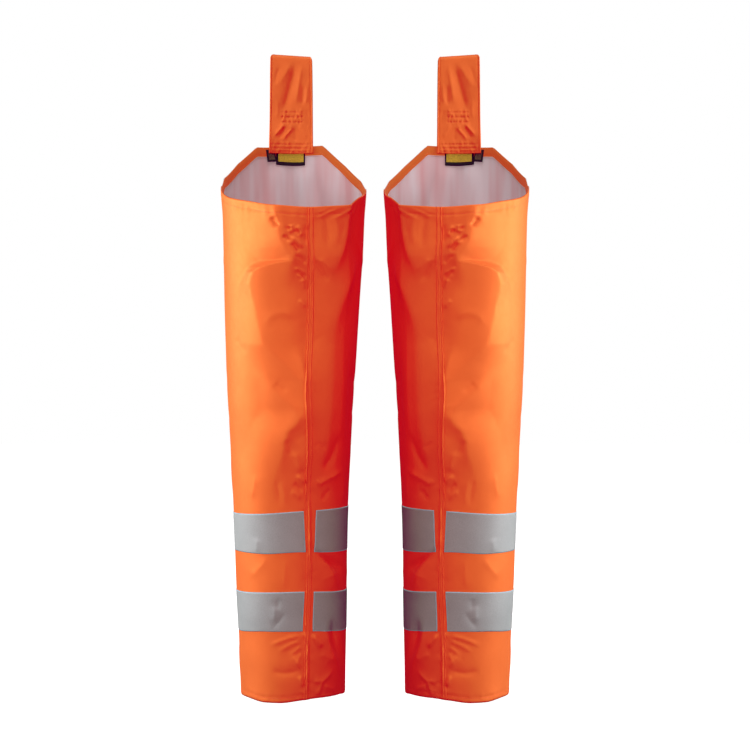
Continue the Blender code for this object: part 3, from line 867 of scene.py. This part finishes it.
def add_tube_cloth(name, outside, inside, side, finishes, flat):
    """Closed sheet of cloth round a leg, with half as many rows and columns on its inside."""
    rows, columns = outside.shape[:2]
    outer = outside.copy()
    outer[[0, -1]] = (outside[[0, -1]] + inside[[0, -1]]) / 2
    picked = np.arange(2, rows - 2, 2)
    points = np.vstack([outer.reshape(-1, 3), inside[picked][:, ::2].reshape(-1, 3)])
    flats = np.vstack([flat.reshape(-1, 2), flat[picked][:, ::2].reshape(-1, 2)])
    front = quads(rows, columns, True)
    start, half = rows * columns, columns // 2
    back = start + quads(len(picked), half, True, flip=True)
    j = np.arange(half)
    near, next_near = start + j, start + (j + 1) % half
    far, next_far = near + (len(picked) - 1) * half, next_near + (len(picked) - 1) * half
    a, b, c = 2 * j, 2 * j + 1, (2 * j + 2) % columns
    last = (rows - 1) * columns
    edges = [
        np.stack(corners, -1).tolist()
        for corners in (
            (near, next_near, c, b),
            (last + b, last + c, next_far, far),
            (near, b, a),
            (last + a, last + b, far),
        )
    ]
    faces = front.tolist() + back.tolist() + sum(edges, [])
    slots = np.repeat([0, 1], [len(front), len(faces) - len(front)])
    return add_mesh(name, points, faces, side, finishes, slots, flats)


def closed(line):
    """Line round the leg that comes back to its start."""
    return np.vstack([line, line[:1]])


def thread_row(points, ways, width, stitch, gap):
    """Points and faces of a row of stitches along a line on cloth."""
    place = lengths_along(points)
    count = int(place[-1] // (stitch + gap))
    bow = np.sin(np.linspace(0, np.pi, THREAD_RINGS))
    size = width / 2 * (0.35 + 0.65 * np.sqrt(bow))
    verts, faces = [], []
    for i in range(count):
        start = (i + 0.5) * place[-1] / count - stitch / 2
        at = start + stitch * np.linspace(0, 1, THREAD_RINGS)
        line, up = (
            np.stack([np.interp(at, place, grid[:, k]) for k in range(3)], -1) for grid in (points, ways)
        )
        up /= np.linalg.norm(up, axis=1, keepdims=True)
        along = line[-1] - line[0]
        along /= np.linalg.norm(along)
        across = np.cross(up, along)
        centre = line + up * (width * (bow[:, None] * 0.55 - 0.2))
        base = len(verts)
        for k in range(THREAD_RINGS):
            for s in range(THREAD_SIDES):
                turn = 2 * math.pi * s / THREAD_SIDES
                verts.append(centre[k] + size[k] * (across[k] * math.cos(turn) + up[k] * math.sin(turn)))
        for k in range(THREAD_RINGS - 1):
            for s in range(THREAD_SIDES):
                ring = base + k * THREAD_SIDES
                a, b = ring + s, ring + (s + 1) % THREAD_SIDES
                faces.append((a, b, b + THREAD_SIDES, a + THREAD_SIDES))
        top = base + (THREAD_RINGS - 1) * THREAD_SIDES
        faces += [(base, base + 5 - s, base + 4 - s, base + 3 - s) for s in (0, 2)]
        faces += [(top, top + 1 + s, top + 2 + s, top + 3 + s) for s in (0, 2)]
    return verts, faces


def add_threads(name, rows, side):
    """One piece with several rows of stitches."""
    size = sizes()
    verts, faces = [], []
    for points, ways in rows:
        more, cells = thread_row(points, ways, size.thread, size.stitch, size.gap)
        faces += [[len(verts) + n for n in face] for face in cells]
        verts += more
    flat = np.array(verts)[:, [0, 2]]
    return add_mesh(name, verts, faces, side, [finish("orange thread", paint_thread)], [0] * len(faces), flat)


# --- finishes ---------------------------------------------------------------------------------------


def finish(name, paint, *values):
    """Finish of a name, painted the first time that it is asked for."""
    made = bpy.data.materials.get(name)
    if made is None:
        made = bpy.data.materials.new(name)
        made.use_nodes = True
        paint(Surface(made.node_tree), *values)
    return made


class Surface:
    """Adds and joins the nodes of one finish. Lengths are in metres, and scales in waves a metre."""

    def __init__(self, tree):
        self.tree = tree
        self.inputs = tree.nodes["Principled BSDF"].inputs

    def add(self, kind, **values):
        """New node, with each value set on its input of that name or else on the node itself."""
        node = self.tree.nodes.new(kind)
        for key, value in values.items():
            if key in node.inputs:
                node.inputs[key].default_value = value
            else:
                setattr(node, key, value)
        return node

    def join(self, start, end):
        """Joins an output to an input."""
        self.tree.links.new(start, end)

    def maths(self, operation, first, second=None):
        """Height after an operation, with a second height or a number where it takes one."""
        node = self.add("ShaderNodeMath", operation=operation)
        self.join(first, node.inputs[0])
        if isinstance(second, float):
            node.inputs[1].default_value = second
        elif second is not None:
            self.join(second, node.inputs[1])
        return node.outputs[0]

    def scaled(self, height, by):
        """Height times a number."""
        return self.maths("MULTIPLY", height, by)

    def summed(self, first, *others):
        """Sum of several heights."""
        for height in others:
            first = self.maths("ADD", first, height)
        return first

    def noise(self, scale, detail=3.0, roughness=0.55, stretch=None):
        """Noise in the piece's own space, stretched where its bands run one way."""
        place = self.add("ShaderNodeTexCoord").outputs["Object"]
        if stretch:
            mapping = self.add("ShaderNodeMapping", Scale=stretch)
            self.join(place, mapping.inputs["Vector"])
            place = mapping.outputs["Vector"]
        noise = self.add("ShaderNodeTexNoise", Scale=scale, Detail=detail, Roughness=roughness)
        self.join(place, noise.inputs["Vector"])
        return noise.outputs["Fac"]

    def weave(self, pitch, depth):
        """Height of a plain weave in the flat cloth: threads that cross at a pitch."""
        flat, parts = self.add("ShaderNodeUVMap", uv_map="flat"), self.add("ShaderNodeSeparateXYZ")
        self.join(flat.outputs["UV"], parts.inputs[0])
        waves = [
            self.maths("SINE", self.scaled(parts.outputs[axis], 2 * math.pi / pitch)) for axis in ("X", "Y")
        ]
        return self.scaled(self.maths("MULTIPLY", *waves), depth)

    def paint(self, tone, dark, light, gloss, smooth, rough):
        """Colour between two by a tone, and roughness between two by a gloss."""
        ramp = self.add("ShaderNodeValToRGB")
        for end, place, colour in zip(ramp.color_ramp.elements, NOISE_SPAN, (dark, light)):
            end.position, end.color = place, (*colour, 1)
        self.join(tone, ramp.inputs[0])
        self.join(ramp.outputs[0], self.inputs["Base Color"])
        spread = self.add("ShaderNodeMapRange")
        for key, value in zip(("From Min", "From Max", "To Min", "To Max"), (*NOISE_SPAN, smooth, rough)):
            spread.inputs[key].default_value = value
        self.join(gloss, spread.inputs["Value"])
        self.join(spread.outputs[0], self.inputs["Roughness"])

    def bump(self, height, strength, distance):
        """Bump from a height in units of a distance."""
        bump = self.add("ShaderNodeBump", Strength=strength, Distance=distance)
        self.join(height, bump.inputs["Height"])
        self.join(bump.outputs[0], self.inputs["Normal"])

    def glow(self, colour, strength):
        """Emission of a colour at a strength: painted light on the chaps' finishes, and the even glow of the
        floor.
        """
        self.inputs["Emission Color"].default_value = (*colour, 1)
        self.inputs["Emission Strength"].default_value = strength


def shade(colour, *by):
    """Colour made lighter or darker, with one share for all of it or one for each part."""
    return tuple(min(1.0, value * share) for value, share in zip(colour, by if len(by) == 3 else by * 3))


def paint_coated(surface, colour, smooth, rough):
    """Coated cloth: smooth skin over a fine weave, with small unevenness and a soft gloss."""
    slow, fine = surface.noise(9.0, 4.0), surface.noise(160.0, 3.0)
    surface.paint(slow, shade(colour, 0.94), shade(colour, 1.05), fine, smooth, rough)
    crumple = surface.scaled(surface.noise(42.0, 4.0, 0.6), 1.6)
    weave = surface.weave(CLOTH_WEAVE, 0.10)
    surface.bump(surface.summed(crumple, surface.scaled(fine, 0.25), weave), 0.35, 0.0004)
    surface.inputs["Specular Tint"].default_value = (1.0, 0.55, 0.10, 1)
    surface.inputs["Specular IOR Level"].default_value = 0.1


def paint_cloth(surface):
    """Orange outside of the cloth, with the coloured gloss of its coating and a painted red glow."""
    paint_coated(surface, bpy.context.scene.chaps_colours.cloth, 0.46, 0.55)
    surface.inputs["Metallic"].default_value = 0.27
    # painted light: an even red glow that keeps the cloth red where it lies in shade
    surface.glow((1.0, 0.0, 0.01), 0.27)


def paint_hem(surface):
    """Outside of the cloth where it is turned to the inside, with painted shade and light: the cloth's colour
    darkened and an orange glow.
    """
    # painted shade: a darkened copy of the cloth's colour
    paint_coated(surface, shade(bpy.context.scene.chaps_colours.cloth, 0.42), 0.51, 0.60)
    # painted light: an orange glow that lights the turned cloth where it lies in shade
    surface.glow((1.0, 0.14, 0.03), 0.36)


def paint_inside(surface):
    """Pale coated inside of the cloth, with pink bands up and down that paint the shade and red bounce light
    of its folds.
    """
    colour = bpy.context.scene.chaps_colours.coating
    bands, fine = surface.noise(44.0, 2.0, 0.5, stretch=(1.0, 1.0, 0.12)), surface.noise(160.0)
    # painted shade: the darker pink of the bands stands for shade and red bounce light in the folds
    surface.paint(bands, shade(colour, 0.95, 0.5, 0.5), shade(colour, 1.04), fine, 0.5, 0.62)
    surface.bump(surface.summed(surface.scaled(fine, 0.3), surface.weave(CLOTH_WEAVE, 0.2)), 0.35, 0.0004)
    # painted light: a faint pale glow
    surface.glow((1.0, 0.88, 0.92), 0.09)


def paint_tape(surface):
    """Reflective tape: grey with the fine grain of glass beads."""
    colour = bpy.context.scene.chaps_colours.tape
    grain, slow = surface.noise(900.0, 2.0, 0.7), surface.noise(30.0, 3.0)
    mixed = surface.summed(surface.scaled(grain, 0.7), surface.scaled(slow, 0.3))
    surface.paint(mixed, shade(colour, 0.84), shade(colour, 1.14), grain, 0.55, 0.7)
    beads = surface.scaled(surface.noise(1400.0, 1.0), 0.5)
    surface.bump(surface.summed(beads, surface.weave(0.0011, 0.2)), 0.3, 0.0002)
    surface.inputs["Metallic"].default_value = 0.1


def paint_tape_edge(surface):
    """Pale blue edge of the tape, with a painted pale blue glow."""
    colour, fine = bpy.context.scene.chaps_colours.tape_edge, surface.noise(400.0)
    surface.paint(fine, shade(colour, 0.88), shade(colour, 1.1), fine, 0.5, 0.6)
    surface.bump(fine, 0.2, 0.0002)
    # painted light: a pale blue glow that keeps the edges light where they face away from the lamps
    surface.glow((0.4, 0.75, 0.9), 0.10)


def paint_strap(surface):
    """Orange cloth of the strap, finer in weave and less smooth than the leg, with a painted red glow."""
    colour = shade(bpy.context.scene.chaps_colours.cloth, 0.92, 0.9, 0.84)
    slow, fine = surface.noise(30.0, 4.0), surface.noise(260.0, 3.0)
    surface.paint(slow, shade(colour, 0.92), shade(colour, 1.06), fine, 0.42, 0.55)
    surface.bump(surface.summed(surface.noise(90.0, 4.0, 0.6), surface.weave(0.0008, 0.14)), 0.4, 0.0004)
    surface.inputs["Specular Tint"].default_value = (1.0, 0.7, 0.2, 1)
    surface.inputs["Specular IOR Level"].default_value = 0.2
    # painted light: an even red glow that keeps the strap red where it lies in shade
    surface.glow((1.0, 0.0, 0.01), 0.28)


def paint_thread(surface):
    """Twisted sewing thread."""
    colour, fine = bpy.context.scene.chaps_colours.thread, surface.noise(2500.0, 2.0)
    surface.paint(fine, shade(colour, 0.8), shade(colour, 1.15), fine, 0.45, 0.65)
    surface.bump(fine, 0.4, 0.0001)


def paint_label(surface, colour):
    """Woven label cloth."""
    fine = surface.noise(600.0, 2.0)
    surface.paint(fine, shade(colour, 0.75), shade(colour, 1.25), fine, 0.55, 0.75)
    surface.bump(surface.weave(0.0006, 0.5), 0.4, 0.0002)
    surface.inputs["Specular IOR Level"].default_value = 0.2


# --- pieces -----------------------------------------------------------------------------------------


def finish_piece(item, slot, *nodes):
    """Puts a piece on the one body and in place of its solids; the slot it is given is not used."""
    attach(item, "root")
    if nodes:
        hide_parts(*nodes)


class MakeLegPanels(bpy.types.Operator):
    """Two leg panels: one piece of coated cloth each, creased as worn, open at the top and at the hem"""

    bl_idname = "chaps.leg_panels"
    bl_label = "Leg panels"

    def execute(self, context):
        leg = Leg.get(fresh=True)
        flat = np.stack([leg.around, leg.outside[..., 2]], -1)
        finishes = [finish("coated orange cloth", paint_cloth), finish("pale coated inside", paint_inside)]
        for name, side in LEGS:
            panel = add_tube_cloth(f"{name}_leg_cloth", leg.outside, leg.inside, side, finishes, flat)
            finish_piece(panel, "panel", f"{name}_leg_panel")
        return {"FINISHED"}


class MakeTopHems(bpy.types.Operator):
    """Turned hems inside the top edges, with their mitred corners"""

    bl_idname = "chaps.top_hems"
    bl_label = "Top hems"

    def execute(self, context):
        leg, size = Leg.get(), sizes()
        depth = np.array(HEM_DEPTHS[::-1])
        rows = [below_top(leg, leg.inside, down) for down in depth]
        points, ways = (np.array(grid) for grid in zip(*rows))
        gap = 0.12 + 0.4 * np.clip(depth / 5, 0, 1) - 0.2 * bell(depth - TOP_STITCH_DEPTH, 1.5)
        outside = points - ways * gap[:, None, None]
        inside = outside - ways * (size.cloth * 0.9 + hem_folds(points))[..., None]
        flat = np.stack(np.broadcast_arrays(leg.around[-1], depth[:, None]), -1)
        # the two lowest rows are the raw edge, which is pale, and above them the orange side shows
        slots = np.repeat([1, 0], [2 * COLUMNS, (len(depth) - 3) * COLUMNS])
        finishes = [finish("turned orange cloth", paint_hem), finish("pale coated inside", paint_inside)]
        stitched = closed(inside[HEM_STITCH_ROW])[TAPE_START:], -closed(ways[HEM_STITCH_ROW])[TAPE_START:]
        for name, side in LEGS:
            hem = add_cloth(
                f"{name}_turned_hem", outside, inside, side, finishes, flat, ring=True, inside_slots=slots
            )
            finish_piece(hem, "hem", f"{name}_top_hem")
            finish_piece(add_threads(f"{name}_hem_stitches", [stitched], side), "hem")
        return {"FINISHED"}


def below_top(leg, grid, depth):
    """Points of a grid of the leg, and the cloth's ways out there, a distance below the top edge."""
    z = leg.outside[..., 2]
    points, ways = np.zeros((COLUMNS, 3)), np.zeros((COLUMNS, 3))
    for c in range(COLUMNS):
        level = z[-TOP_ROWS:, c]
        for k in range(3):
            points[c, k] = np.interp(level[-1] - depth, level, grid[-TOP_ROWS:, c, k])
            ways[c, k] = np.interp(level[-1] - depth, level, leg.ways[-TOP_ROWS:, c, k])
    return points, ways


def hem_folds(points):
    """Extra height of the hem at its folded corners on the back."""
    x, y, z = points[..., 0], points[..., 1], points[..., 2]
    total = np.zeros_like(x)
    for corner, lean in ((BACK_CORNER_OUTER, 0.16), (BACK_CORNER_INNER, -0.2)):
        off = x - (corner + lean * (z - BACK_TOP_Z))
        over = 1 / (1 + np.exp(-off * np.sign(lean) / 0.8))
        total += 0.6 * over * bell(off, 9) * (y > LEG_MID_Y)
    return total


class MakeSeams(bpy.types.Operator):
    """Lapped front seams with two rows of stitches, and the stitches of the top edge and the hem"""

    bl_idname = "chaps.seams"
    bl_label = "Seams"

    def execute(self, context):
        leg = Leg.get()
        columns = np.linspace(*LAP_COLUMNS, LAP_POINTS)
        across = np.linspace(-1, 1, LAP_POINTS)
        points, ways = between_columns(leg.outside, columns), between_columns(leg.ways, columns)
        z = points[..., 2]
        height = 0.45 * np.clip((1 - np.abs(across)) / 0.16, 0, 1) ** 0.6
        for ridge in LAP_RIDGES:
            waver = 1 + 0.22 * np.sin(z / 4.1 + 2 * np.sin(z / 17) + ridge.place * 9)
            rise = read(SEAM_RIDGES, "z", ridge.key, z) * waver
            height = height + rise * bell(across - ridge.place, ridge.width)
        outside = points + ways * height[..., None]
        inside = points + ways * 0.08
        flat = np.stack([np.broadcast_to(across * LAP_HALF, z.shape), z], -1)
        rows = [(outside[2:-2, c] - ways[2:-2, c] * 0.05, ways[2:-2, c]) for c in LAP_STITCH_COLUMNS]
        past_lap = slice(LAP_COLUMNS[1], None)
        rows.append([closed(grid)[past_lap] for grid in below_top(leg, leg.outside, TOP_STITCH_DEPTH)])
        rows.append([closed(grid[LOW_STITCH_ROW])[past_lap] for grid in (leg.outside, leg.ways)])
        finishes = [finish("coated orange cloth", paint_cloth)]
        for name, side in LEGS:
            lap = add_cloth(f"{name}_front_seam", outside, inside, side, finishes, flat)
            finish_piece(lap, "panel", f"{name}_seam_lap")
            threads = add_threads(f"{name}_leg_stitches", rows, side)
            finish_piece(threads, "panel")
        return {"FINISHED"}


def between_columns(grid, columns):
    """Grid read at places between its columns."""
    low = np.minimum(np.floor(columns).astype(int), grid.shape[1] - 2)
    share = (columns - low)[None, :, None]
    return grid[:, low] * (1 - share) + grid[:, low + 1] * share


class MakeTapes(bpy.types.Operator):
    """Reflective tapes round the lower legs, ending on both sides of the seam"""

    bl_idname = "chaps.tapes"
    bl_label = "Tapes"

    def execute(self, context):
        leg, size = Leg.get(), sizes()
        finishes = [finish("reflective tape", paint_tape), finish("pale blue tape edge", paint_tape_edge)]
        columns = [*range(TAPE_START, COLUMNS), 0]
        for tape in TAPES:
            picked = slice(sum(RISES[: tape.rise]), sum(RISES[: tape.rise + 1]) + 1)
            base, ways = edged(leg.outside[picked][:, columns], leg.ways[picked][:, columns], size.tape_edge)
            rows, count = base.shape[:2]
            curl = np.linspace(-1, 1, rows)[:, None] ** 4
            lift = 0.12 + 0.1 * np.sin(np.linspace(0, 40, count))[None, :] * curl
            inside = base + ways * 0.1
            outside = base + ways * (size.tape + lift)[..., None]
            around = np.broadcast_to(lengths_along(base[rows // 2]), (rows, count))
            flat = np.stack([around, base[..., 2]], -1)
            row, column = np.meshgrid(np.arange(rows - 1), np.arange(count - 1), indexing="ij")
            slots = ((row < 1) | (row > rows - 3) | (column < 1) | (column > count - 3)).astype(int).ravel()
            for name, side in LEGS:
                band = add_cloth(
                    f"{name}_{tape.name}_band", outside, inside, side, finishes, flat, slots=slots
                )
                finish_piece(band, "tape", f"{name}_{tape.name}")
        return {"FINISHED"}


def edged(points, ways, width):
    """Grid with an extra row and column a width inside each border."""
    for axis in (0, 1):
        for first, second in ((0, 1), (-1, -2)):
            start, stop = np.take(points, first, axis=axis), np.take(points, second, axis=axis)
            cell = np.linalg.norm(stop - start, axis=-1, keepdims=True)
            share = np.clip(width / np.maximum(cell, 1e-6), 0, 0.9)
            way = np.take(ways, first, axis=axis) * (1 - share) + np.take(ways, second, axis=axis) * share
            where = 1 if first == 0 else points.shape[axis] - 1
            points = np.insert(points, where, start * (1 - share) + stop * share, axis=axis)
            ways = np.insert(ways, where, way, axis=axis)
    return points, ways


def strap_line():
    """Side view of the strap from its foot, over the fold and down to its end, as y, z and the turn so far,
    and the length up to each point."""
    turns = [math.pi * step / FOLD_STEPS for step in range(1, FOLD_STEPS)]
    line = [(point.y, point.z, 0.0) for point in STRAP_FRONT]
    for turn in turns:
        y, z = FOLD_CENTRE_Y - FOLD_RADIUS * math.cos(turn), FOLD_CENTRE_Z + FOLD_RADIUS * math.sin(turn)
        line.append((y, z, turn))
    line += [(point.y, point.z, math.pi) for point in STRAP_BACK]
    line = np.array(line)
    length = lengths_along(line[:, :2])
    at = np.linspace(0, length[-1], int(length[-1] / STRAP_CELL))
    return np.stack([np.interp(at, length, line[:, k]) for k in range(3)], -1), at


def back_depth(leg, x):
    """y of the outside of the back at its top edge, at places across it."""
    top = leg.outside[-1]
    back = top[top[:, 1] > LEG_MID_Y]
    order = np.argsort(back[:, 0])
    return np.interp(x, back[order, 0], back[order, 1])


class MakeStraps(bpy.types.Operator):
    """Belt straps folded over into loops, with their stitching"""

    bl_idname = "chaps.straps"
    bl_label = "Straps"

    def execute(self, context):
        leg, size = Leg.get(), sizes()
        line, length = strap_line()
        middle, half = (STRAP_OUTER + STRAP_INNER) / 2, STRAP_HALF
        edge = np.array(STRAP_EDGE_CELLS) / half
        inner = 1 - STRAP_INNER_CELLS / half
        across = np.concatenate([-1 + edge, np.linspace(-inner, inner, 44), (1 - edge)[::-1]])
        y, z, turn = line[:, :1], line[:, 1:2], line[:, 2:]
        on_flat = np.abs(np.cos(turn))
        rise = np.clip((z - STRAP_FRONT[0].z) / (FOLD_CENTRE_Z - STRAP_FRONT[0].z), 0, 1)
        width = half * (1 - (1 - STRAP_TOP_SHARE) * rise) - 4.0 * (1 - on_flat)
        x = middle - width * across[None, :]
        # the foot of the strap follows the back of the leg, and its top hangs lower on one side
        hold = smooth_step(np.where(turn == 0, (-60 - z) / 40, 0))
        lean = (back_depth(leg, middle - half * across)[None, :] - 4.0 - y) * hold
        tilt = -1.65 * (1 + across[None, :]) * rise**3
        points = np.stack([x, y + lean, z + tilt], -1)
        ways = -ways_out(points, ring=False)
        a, level = np.broadcast_arrays(across * half, z)
        relief = gathers(a, level)
        paths = [[(share * half, up) for share, up in crease.path] for crease in STRAP_CREASES]
        relief = relief + sum(
            crease_height(crease._replace(path=path), a, points[..., 2])
            for crease, path in zip(STRAP_CREASES, paths)
        )
        relief = relief * np.clip(3 * (1 - np.abs(across)), 0, 1) * np.where(turn < math.pi / 2, 1.0, -0.7)
        away = (1 - np.abs(across)) * half
        rim = 0.75 * bell(away - 1.0, 0.9) * on_flat
        groove = 0.85 * bell(away - 2.6, 0.8) * on_flat
        rounding = np.clip((np.abs(across) - (1 - 1.1 / half)) / (1.1 / half), 0, 1)
        body = size.strap / 2 * (1 - rounding**2) ** 0.5
        outside = points + ways * (body - (groove - rim) + relief)[..., None]
        inside = points - ways * (body - relief)[..., None]
        flat = np.stack(np.broadcast_arrays(across * half, length[:, None]), -1)
        finishes = [finish("orange strap cloth", paint_strap)]
        rows = [(outside[:, column], ways[:, column]) for column in (5, len(across) - 6)]
        for stitches in STRAP_STITCHES:
            row = strap_row(line, stitches.z)
            picked = (across > stitches.start) & (across < stitches.stop)
            rows.append((outside[row, picked], ways[row, picked]))
        box = slice(strap_row(line, BOX_FOOT), strap_row(line, BOX_HEAD) + 1)
        for place in (BOX_OUTER, BOX_INNER):
            column = int(np.argmin(np.abs(across - place)))
            rows.append((outside[box, column], ways[box, column]))
        for name, side in LEGS:
            strap = add_cloth(
                f"{name}_belt_loop", outside[:, ::-1], inside[:, ::-1], side, finishes, flat[:, ::-1]
            )
            finish_piece(strap, "strap", f"{name}_belt_strap")
            finish_piece(add_threads(f"{name}_strap_stitches", rows, side), "strap")
        return {"FINISHED"}


def strap_row(line, height):
    """Row of the strap's front at a height."""
    return int(np.argmin(np.abs(line[:, 1] - height) + 99 * line[:, 2]))


def gathers(a, z):
    """Small puckers of the strap along its rows of stitches."""
    rng = random.Random(GATHER_SEED)
    total = np.zeros_like(a)
    for stitches in STRAP_STITCHES:
        start, stop, off = stitches.start * STRAP_HALF, stitches.stop * STRAP_HALF, z - stitches.z
        total -= 1.0 * bell(off, 0.9) * ((a > start - 1) & (a < stop + 1))
        place = start
        while place < stop:
            tall, lean = rng.uniform(-0.7, 1.3), rng.uniform(-0.3, 0.3)
            total += tall * np.exp(-(((a - place - lean * off) / 1.2) ** 2) - (off / 3.6) ** 2)
            place += rng.uniform(1.6, 3.4)
    return total


class MakeLabels(bpy.types.Operator):
    """Two plain woven labels under the foot of each strap"""

    bl_idname = "chaps.labels"
    bl_label = "Labels"

    def execute(self, context):
        leg, colours = Leg.get(), context.scene.chaps_colours
        ground = finish("black label", paint_label, colours.label)
        for label in LABELS:
            x0, x1, top, foot = label.outer, label.inner, label.top, label.foot
            x, z = np.meshgrid(np.linspace(x1, x0, 40), np.linspace(foot, top, 24))
            y = back_depth(leg, x) - 2.4 - 0.9 * np.clip((top - 6 - z) / 16, 0, 1) ** 1.5
            down = np.clip((top - z) / (top - foot), 0, 1)
            droop = -label.droop * down * np.sin(np.pi * (x - x1) / (x0 - x1)) + label.slant * (x0 - x) * down
            points = np.stack([x - label.swing * down, y, z + droop], -1)
            ways = -np.abs(ways_out(points, ring=False)) * np.array([0, 1, 0])
            outside, inside = points + ways * 0.25, points - ways * 0.2
            flat = np.stack([x, z], -1)
            cx, cz = (x[:-1, :-1] + x[1:, 1:]) / 2, (z[:-1, :-1] + z[1:, 1:]) / 2
            on_field = (cx < x0 - label.side_border) & (cx > x1 + label.side_border * 0.6)
            on_field &= (cz > foot + label.foot_border) & (cz < top - 1)
            face = finish(label.face, paint_label, getattr(colours, label.colour))
            for name, side in LEGS:
                made = add_cloth(
                    f"{name}_{label.name}_cloth",
                    outside,
                    inside,
                    side,
                    [ground, face, ground],
                    flat,
                    slots=on_field.astype(int).ravel(),
                )
                finish_piece(made, label.name, f"{name}_{label.name}")
        return {"FINISHED"}


# --- stage ------------------------------------------------------------------------------------------


class MakeStage(bpy.types.Operator):
    """Pale floor, soft lights from both sides and the camera"""

    bl_idname = "chaps.stage"
    bl_label = "Stage"

    def execute(self, context):
        scene = context.scene
        camera = bpy.data.objects.new("camera", bpy.data.cameras.new("camera"))
        scene.collection.objects.link(camera)
        camera.location = (0, LEG_MID_Y * MM - EYE_DISTANCE, EYE_LEVEL)
        camera.rotation_euler = (math.pi / 2, 0, 0)
        camera.data.sensor_width = SENSOR
        camera.data.lens = SENSOR * EYE_DISTANCE / VIEW_WIDTH
        scene.camera = camera
        scene.view_settings.view_transform = "Standard"
        scene.view_settings.look = "None"
        self.deepen_reds(scene.view_settings)
        self.add_floor(scene)
        self.make_world(scene)
        for name, side in LEGS:
            group = bpy.data.collections.new(f"{name} leg")
            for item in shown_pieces():
                if item.name.startswith(f"{name}_"):
                    group.objects.link(item)
            for lamp in LEG_LAMPS:
                turned = lamp._replace(
                    name=f"{name} {lamp.name}",
                    place=(side * lamp.place[0], *lamp.place[1:]),
                    aim=(side * lamp.aim[0], *lamp.aim[1:]),
                )
                self.add_lamp(scene, turned).light_linking.receiver_collection = group
        for lamp in LAMPS:
            self.add_lamp(scene, lamp)
        bpy.data.objects["bounce between the legs"].visible_glossy = False
        return {"FINISHED"}

    def deepen_reds(self, view):
        """Takes the last of the green out of shaded orange, as a camera does with fluorescent dye."""
        view.use_curve_mapping = True
        curves = view.curve_mapping
        green = curves.curves[1]
        for place, value in ((0.02, 0.001), (0.042, 0.012), (0.07, 0.048), (0.11, 0.11)):
            green.points.new(place, value)
        for point in green.points:
            point.handle_type = "VECTOR"
        curves.update()

    def add_floor(self, scene):
        """Pale floor that glows like a lit sweep, without colouring the chaps."""
        mesh = bpy.data.meshes.new("floor")
        corners = [(x * FLOOR_HALF, y * FLOOR_HALF, FLOOR_Z) for x, y in ((-1, -1), (1, -1), (1, 1), (-1, 1))]
        mesh.from_pydata(corners, [], [(0, 1, 2, 3)])
        mesh.materials.append(finish("pale floor", self.paint_floor))
        item = bpy.data.objects.new("floor", mesh)
        item.visible_diffuse = item.visible_glossy = False
        scene.collection.objects.link(item)
        item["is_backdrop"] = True

    def paint_floor(self, surface):
        """Plain pale paper."""
        surface.inputs["Base Color"].default_value = (0.9, 0.9, 0.9, 1)
        surface.inputs["Roughness"].default_value = 0.8
        surface.glow((1, 1, 1), 1.0)

    def make_world(self, scene):
        """White room behind the chaps, which lights them only faintly."""
        world = bpy.data.worlds.new("studio")
        scene.world = world
        world.use_nodes = True
        tree = world.node_tree
        tree.nodes.clear()
        mix = tree.nodes.new("ShaderNodeMixShader")
        for slot, colour, strength in ((1, (1.0, 0.85, 0.85, 1), 0.12), (2, (1, 1, 1, 1), 1.0)):
            light = tree.nodes.new("ShaderNodeBackground")
            light.inputs[0].default_value, light.inputs[1].default_value = colour, strength
            tree.links.new(light.outputs[0], mix.inputs[slot])
        tree.links.new(tree.nodes.new("ShaderNodeLightPath").outputs["Is Camera Ray"], mix.inputs[0])
        tree.links.new(mix.outputs[0], tree.nodes.new("ShaderNodeOutputWorld").inputs[0])

    def add_lamp(self, scene, lamp):
        """Soft lamp that looks at its aim."""
        light = bpy.data.lights.new(lamp.name, "AREA")
        light.shape, light.size, light.size_y = "RECTANGLE", *lamp.size
        light.energy, light.color = lamp.power, lamp.colour
        item = bpy.data.objects.new(lamp.name, light)
        item.location = lamp.place
        item.rotation_euler = (Vector(lamp.aim) - Vector(lamp.place)).to_track_quat("-Z", "Y").to_euler()
        item.visible_camera = False
        scene.collection.objects.link(item)
        return item


class ChapsPanel(bpy.types.Panel):
    """Lists the pieces of the chaps in the order they are made"""

    bl_idname = "VIEW3D_PT_chaps"
    bl_label = "Rain chaps"
    bl_space_type = "VIEW_3D"
    bl_region_type = "UI"
    bl_category = "Rain chaps"

    def draw(self, context):
        layout = self.layout
        for group in (context.scene.chaps_sizes, context.scene.chaps_colours):
            box = layout.box()
            for key in group.__annotations__:
                box.prop(group, key)
        for operator in OPERATORS:
            layout.operator(operator.bl_idname)


OPERATORS = (MakeLegPanels, MakeTopHems, MakeSeams, MakeTapes, MakeStraps, MakeLabels, MakeStage)
CLASSES = (ChapsSizes, ChapsColours, *OPERATORS, ChapsPanel)


def register():
    for item in CLASSES:
        bpy.utils.register_class(item)
    bpy.types.Scene.chaps_sizes = PointerProperty(type=ChapsSizes)
    bpy.types.Scene.chaps_colours = PointerProperty(type=ChapsColours)


def unregister():
    del bpy.types.Scene.chaps_colours
    del bpy.types.Scene.chaps_sizes
    for item in reversed(CLASSES):
        bpy.utils.unregister_class(item)


def main():
    register()
    bpy.ops.chaps.leg_panels()
    bpy.ops.chaps.top_hems()
    bpy.ops.chaps.seams()
    bpy.ops.chaps.tapes()
    bpy.ops.chaps.straps()
    bpy.ops.chaps.labels()
    bpy.ops.chaps.stage()


if __name__ == "__main__":
    main()
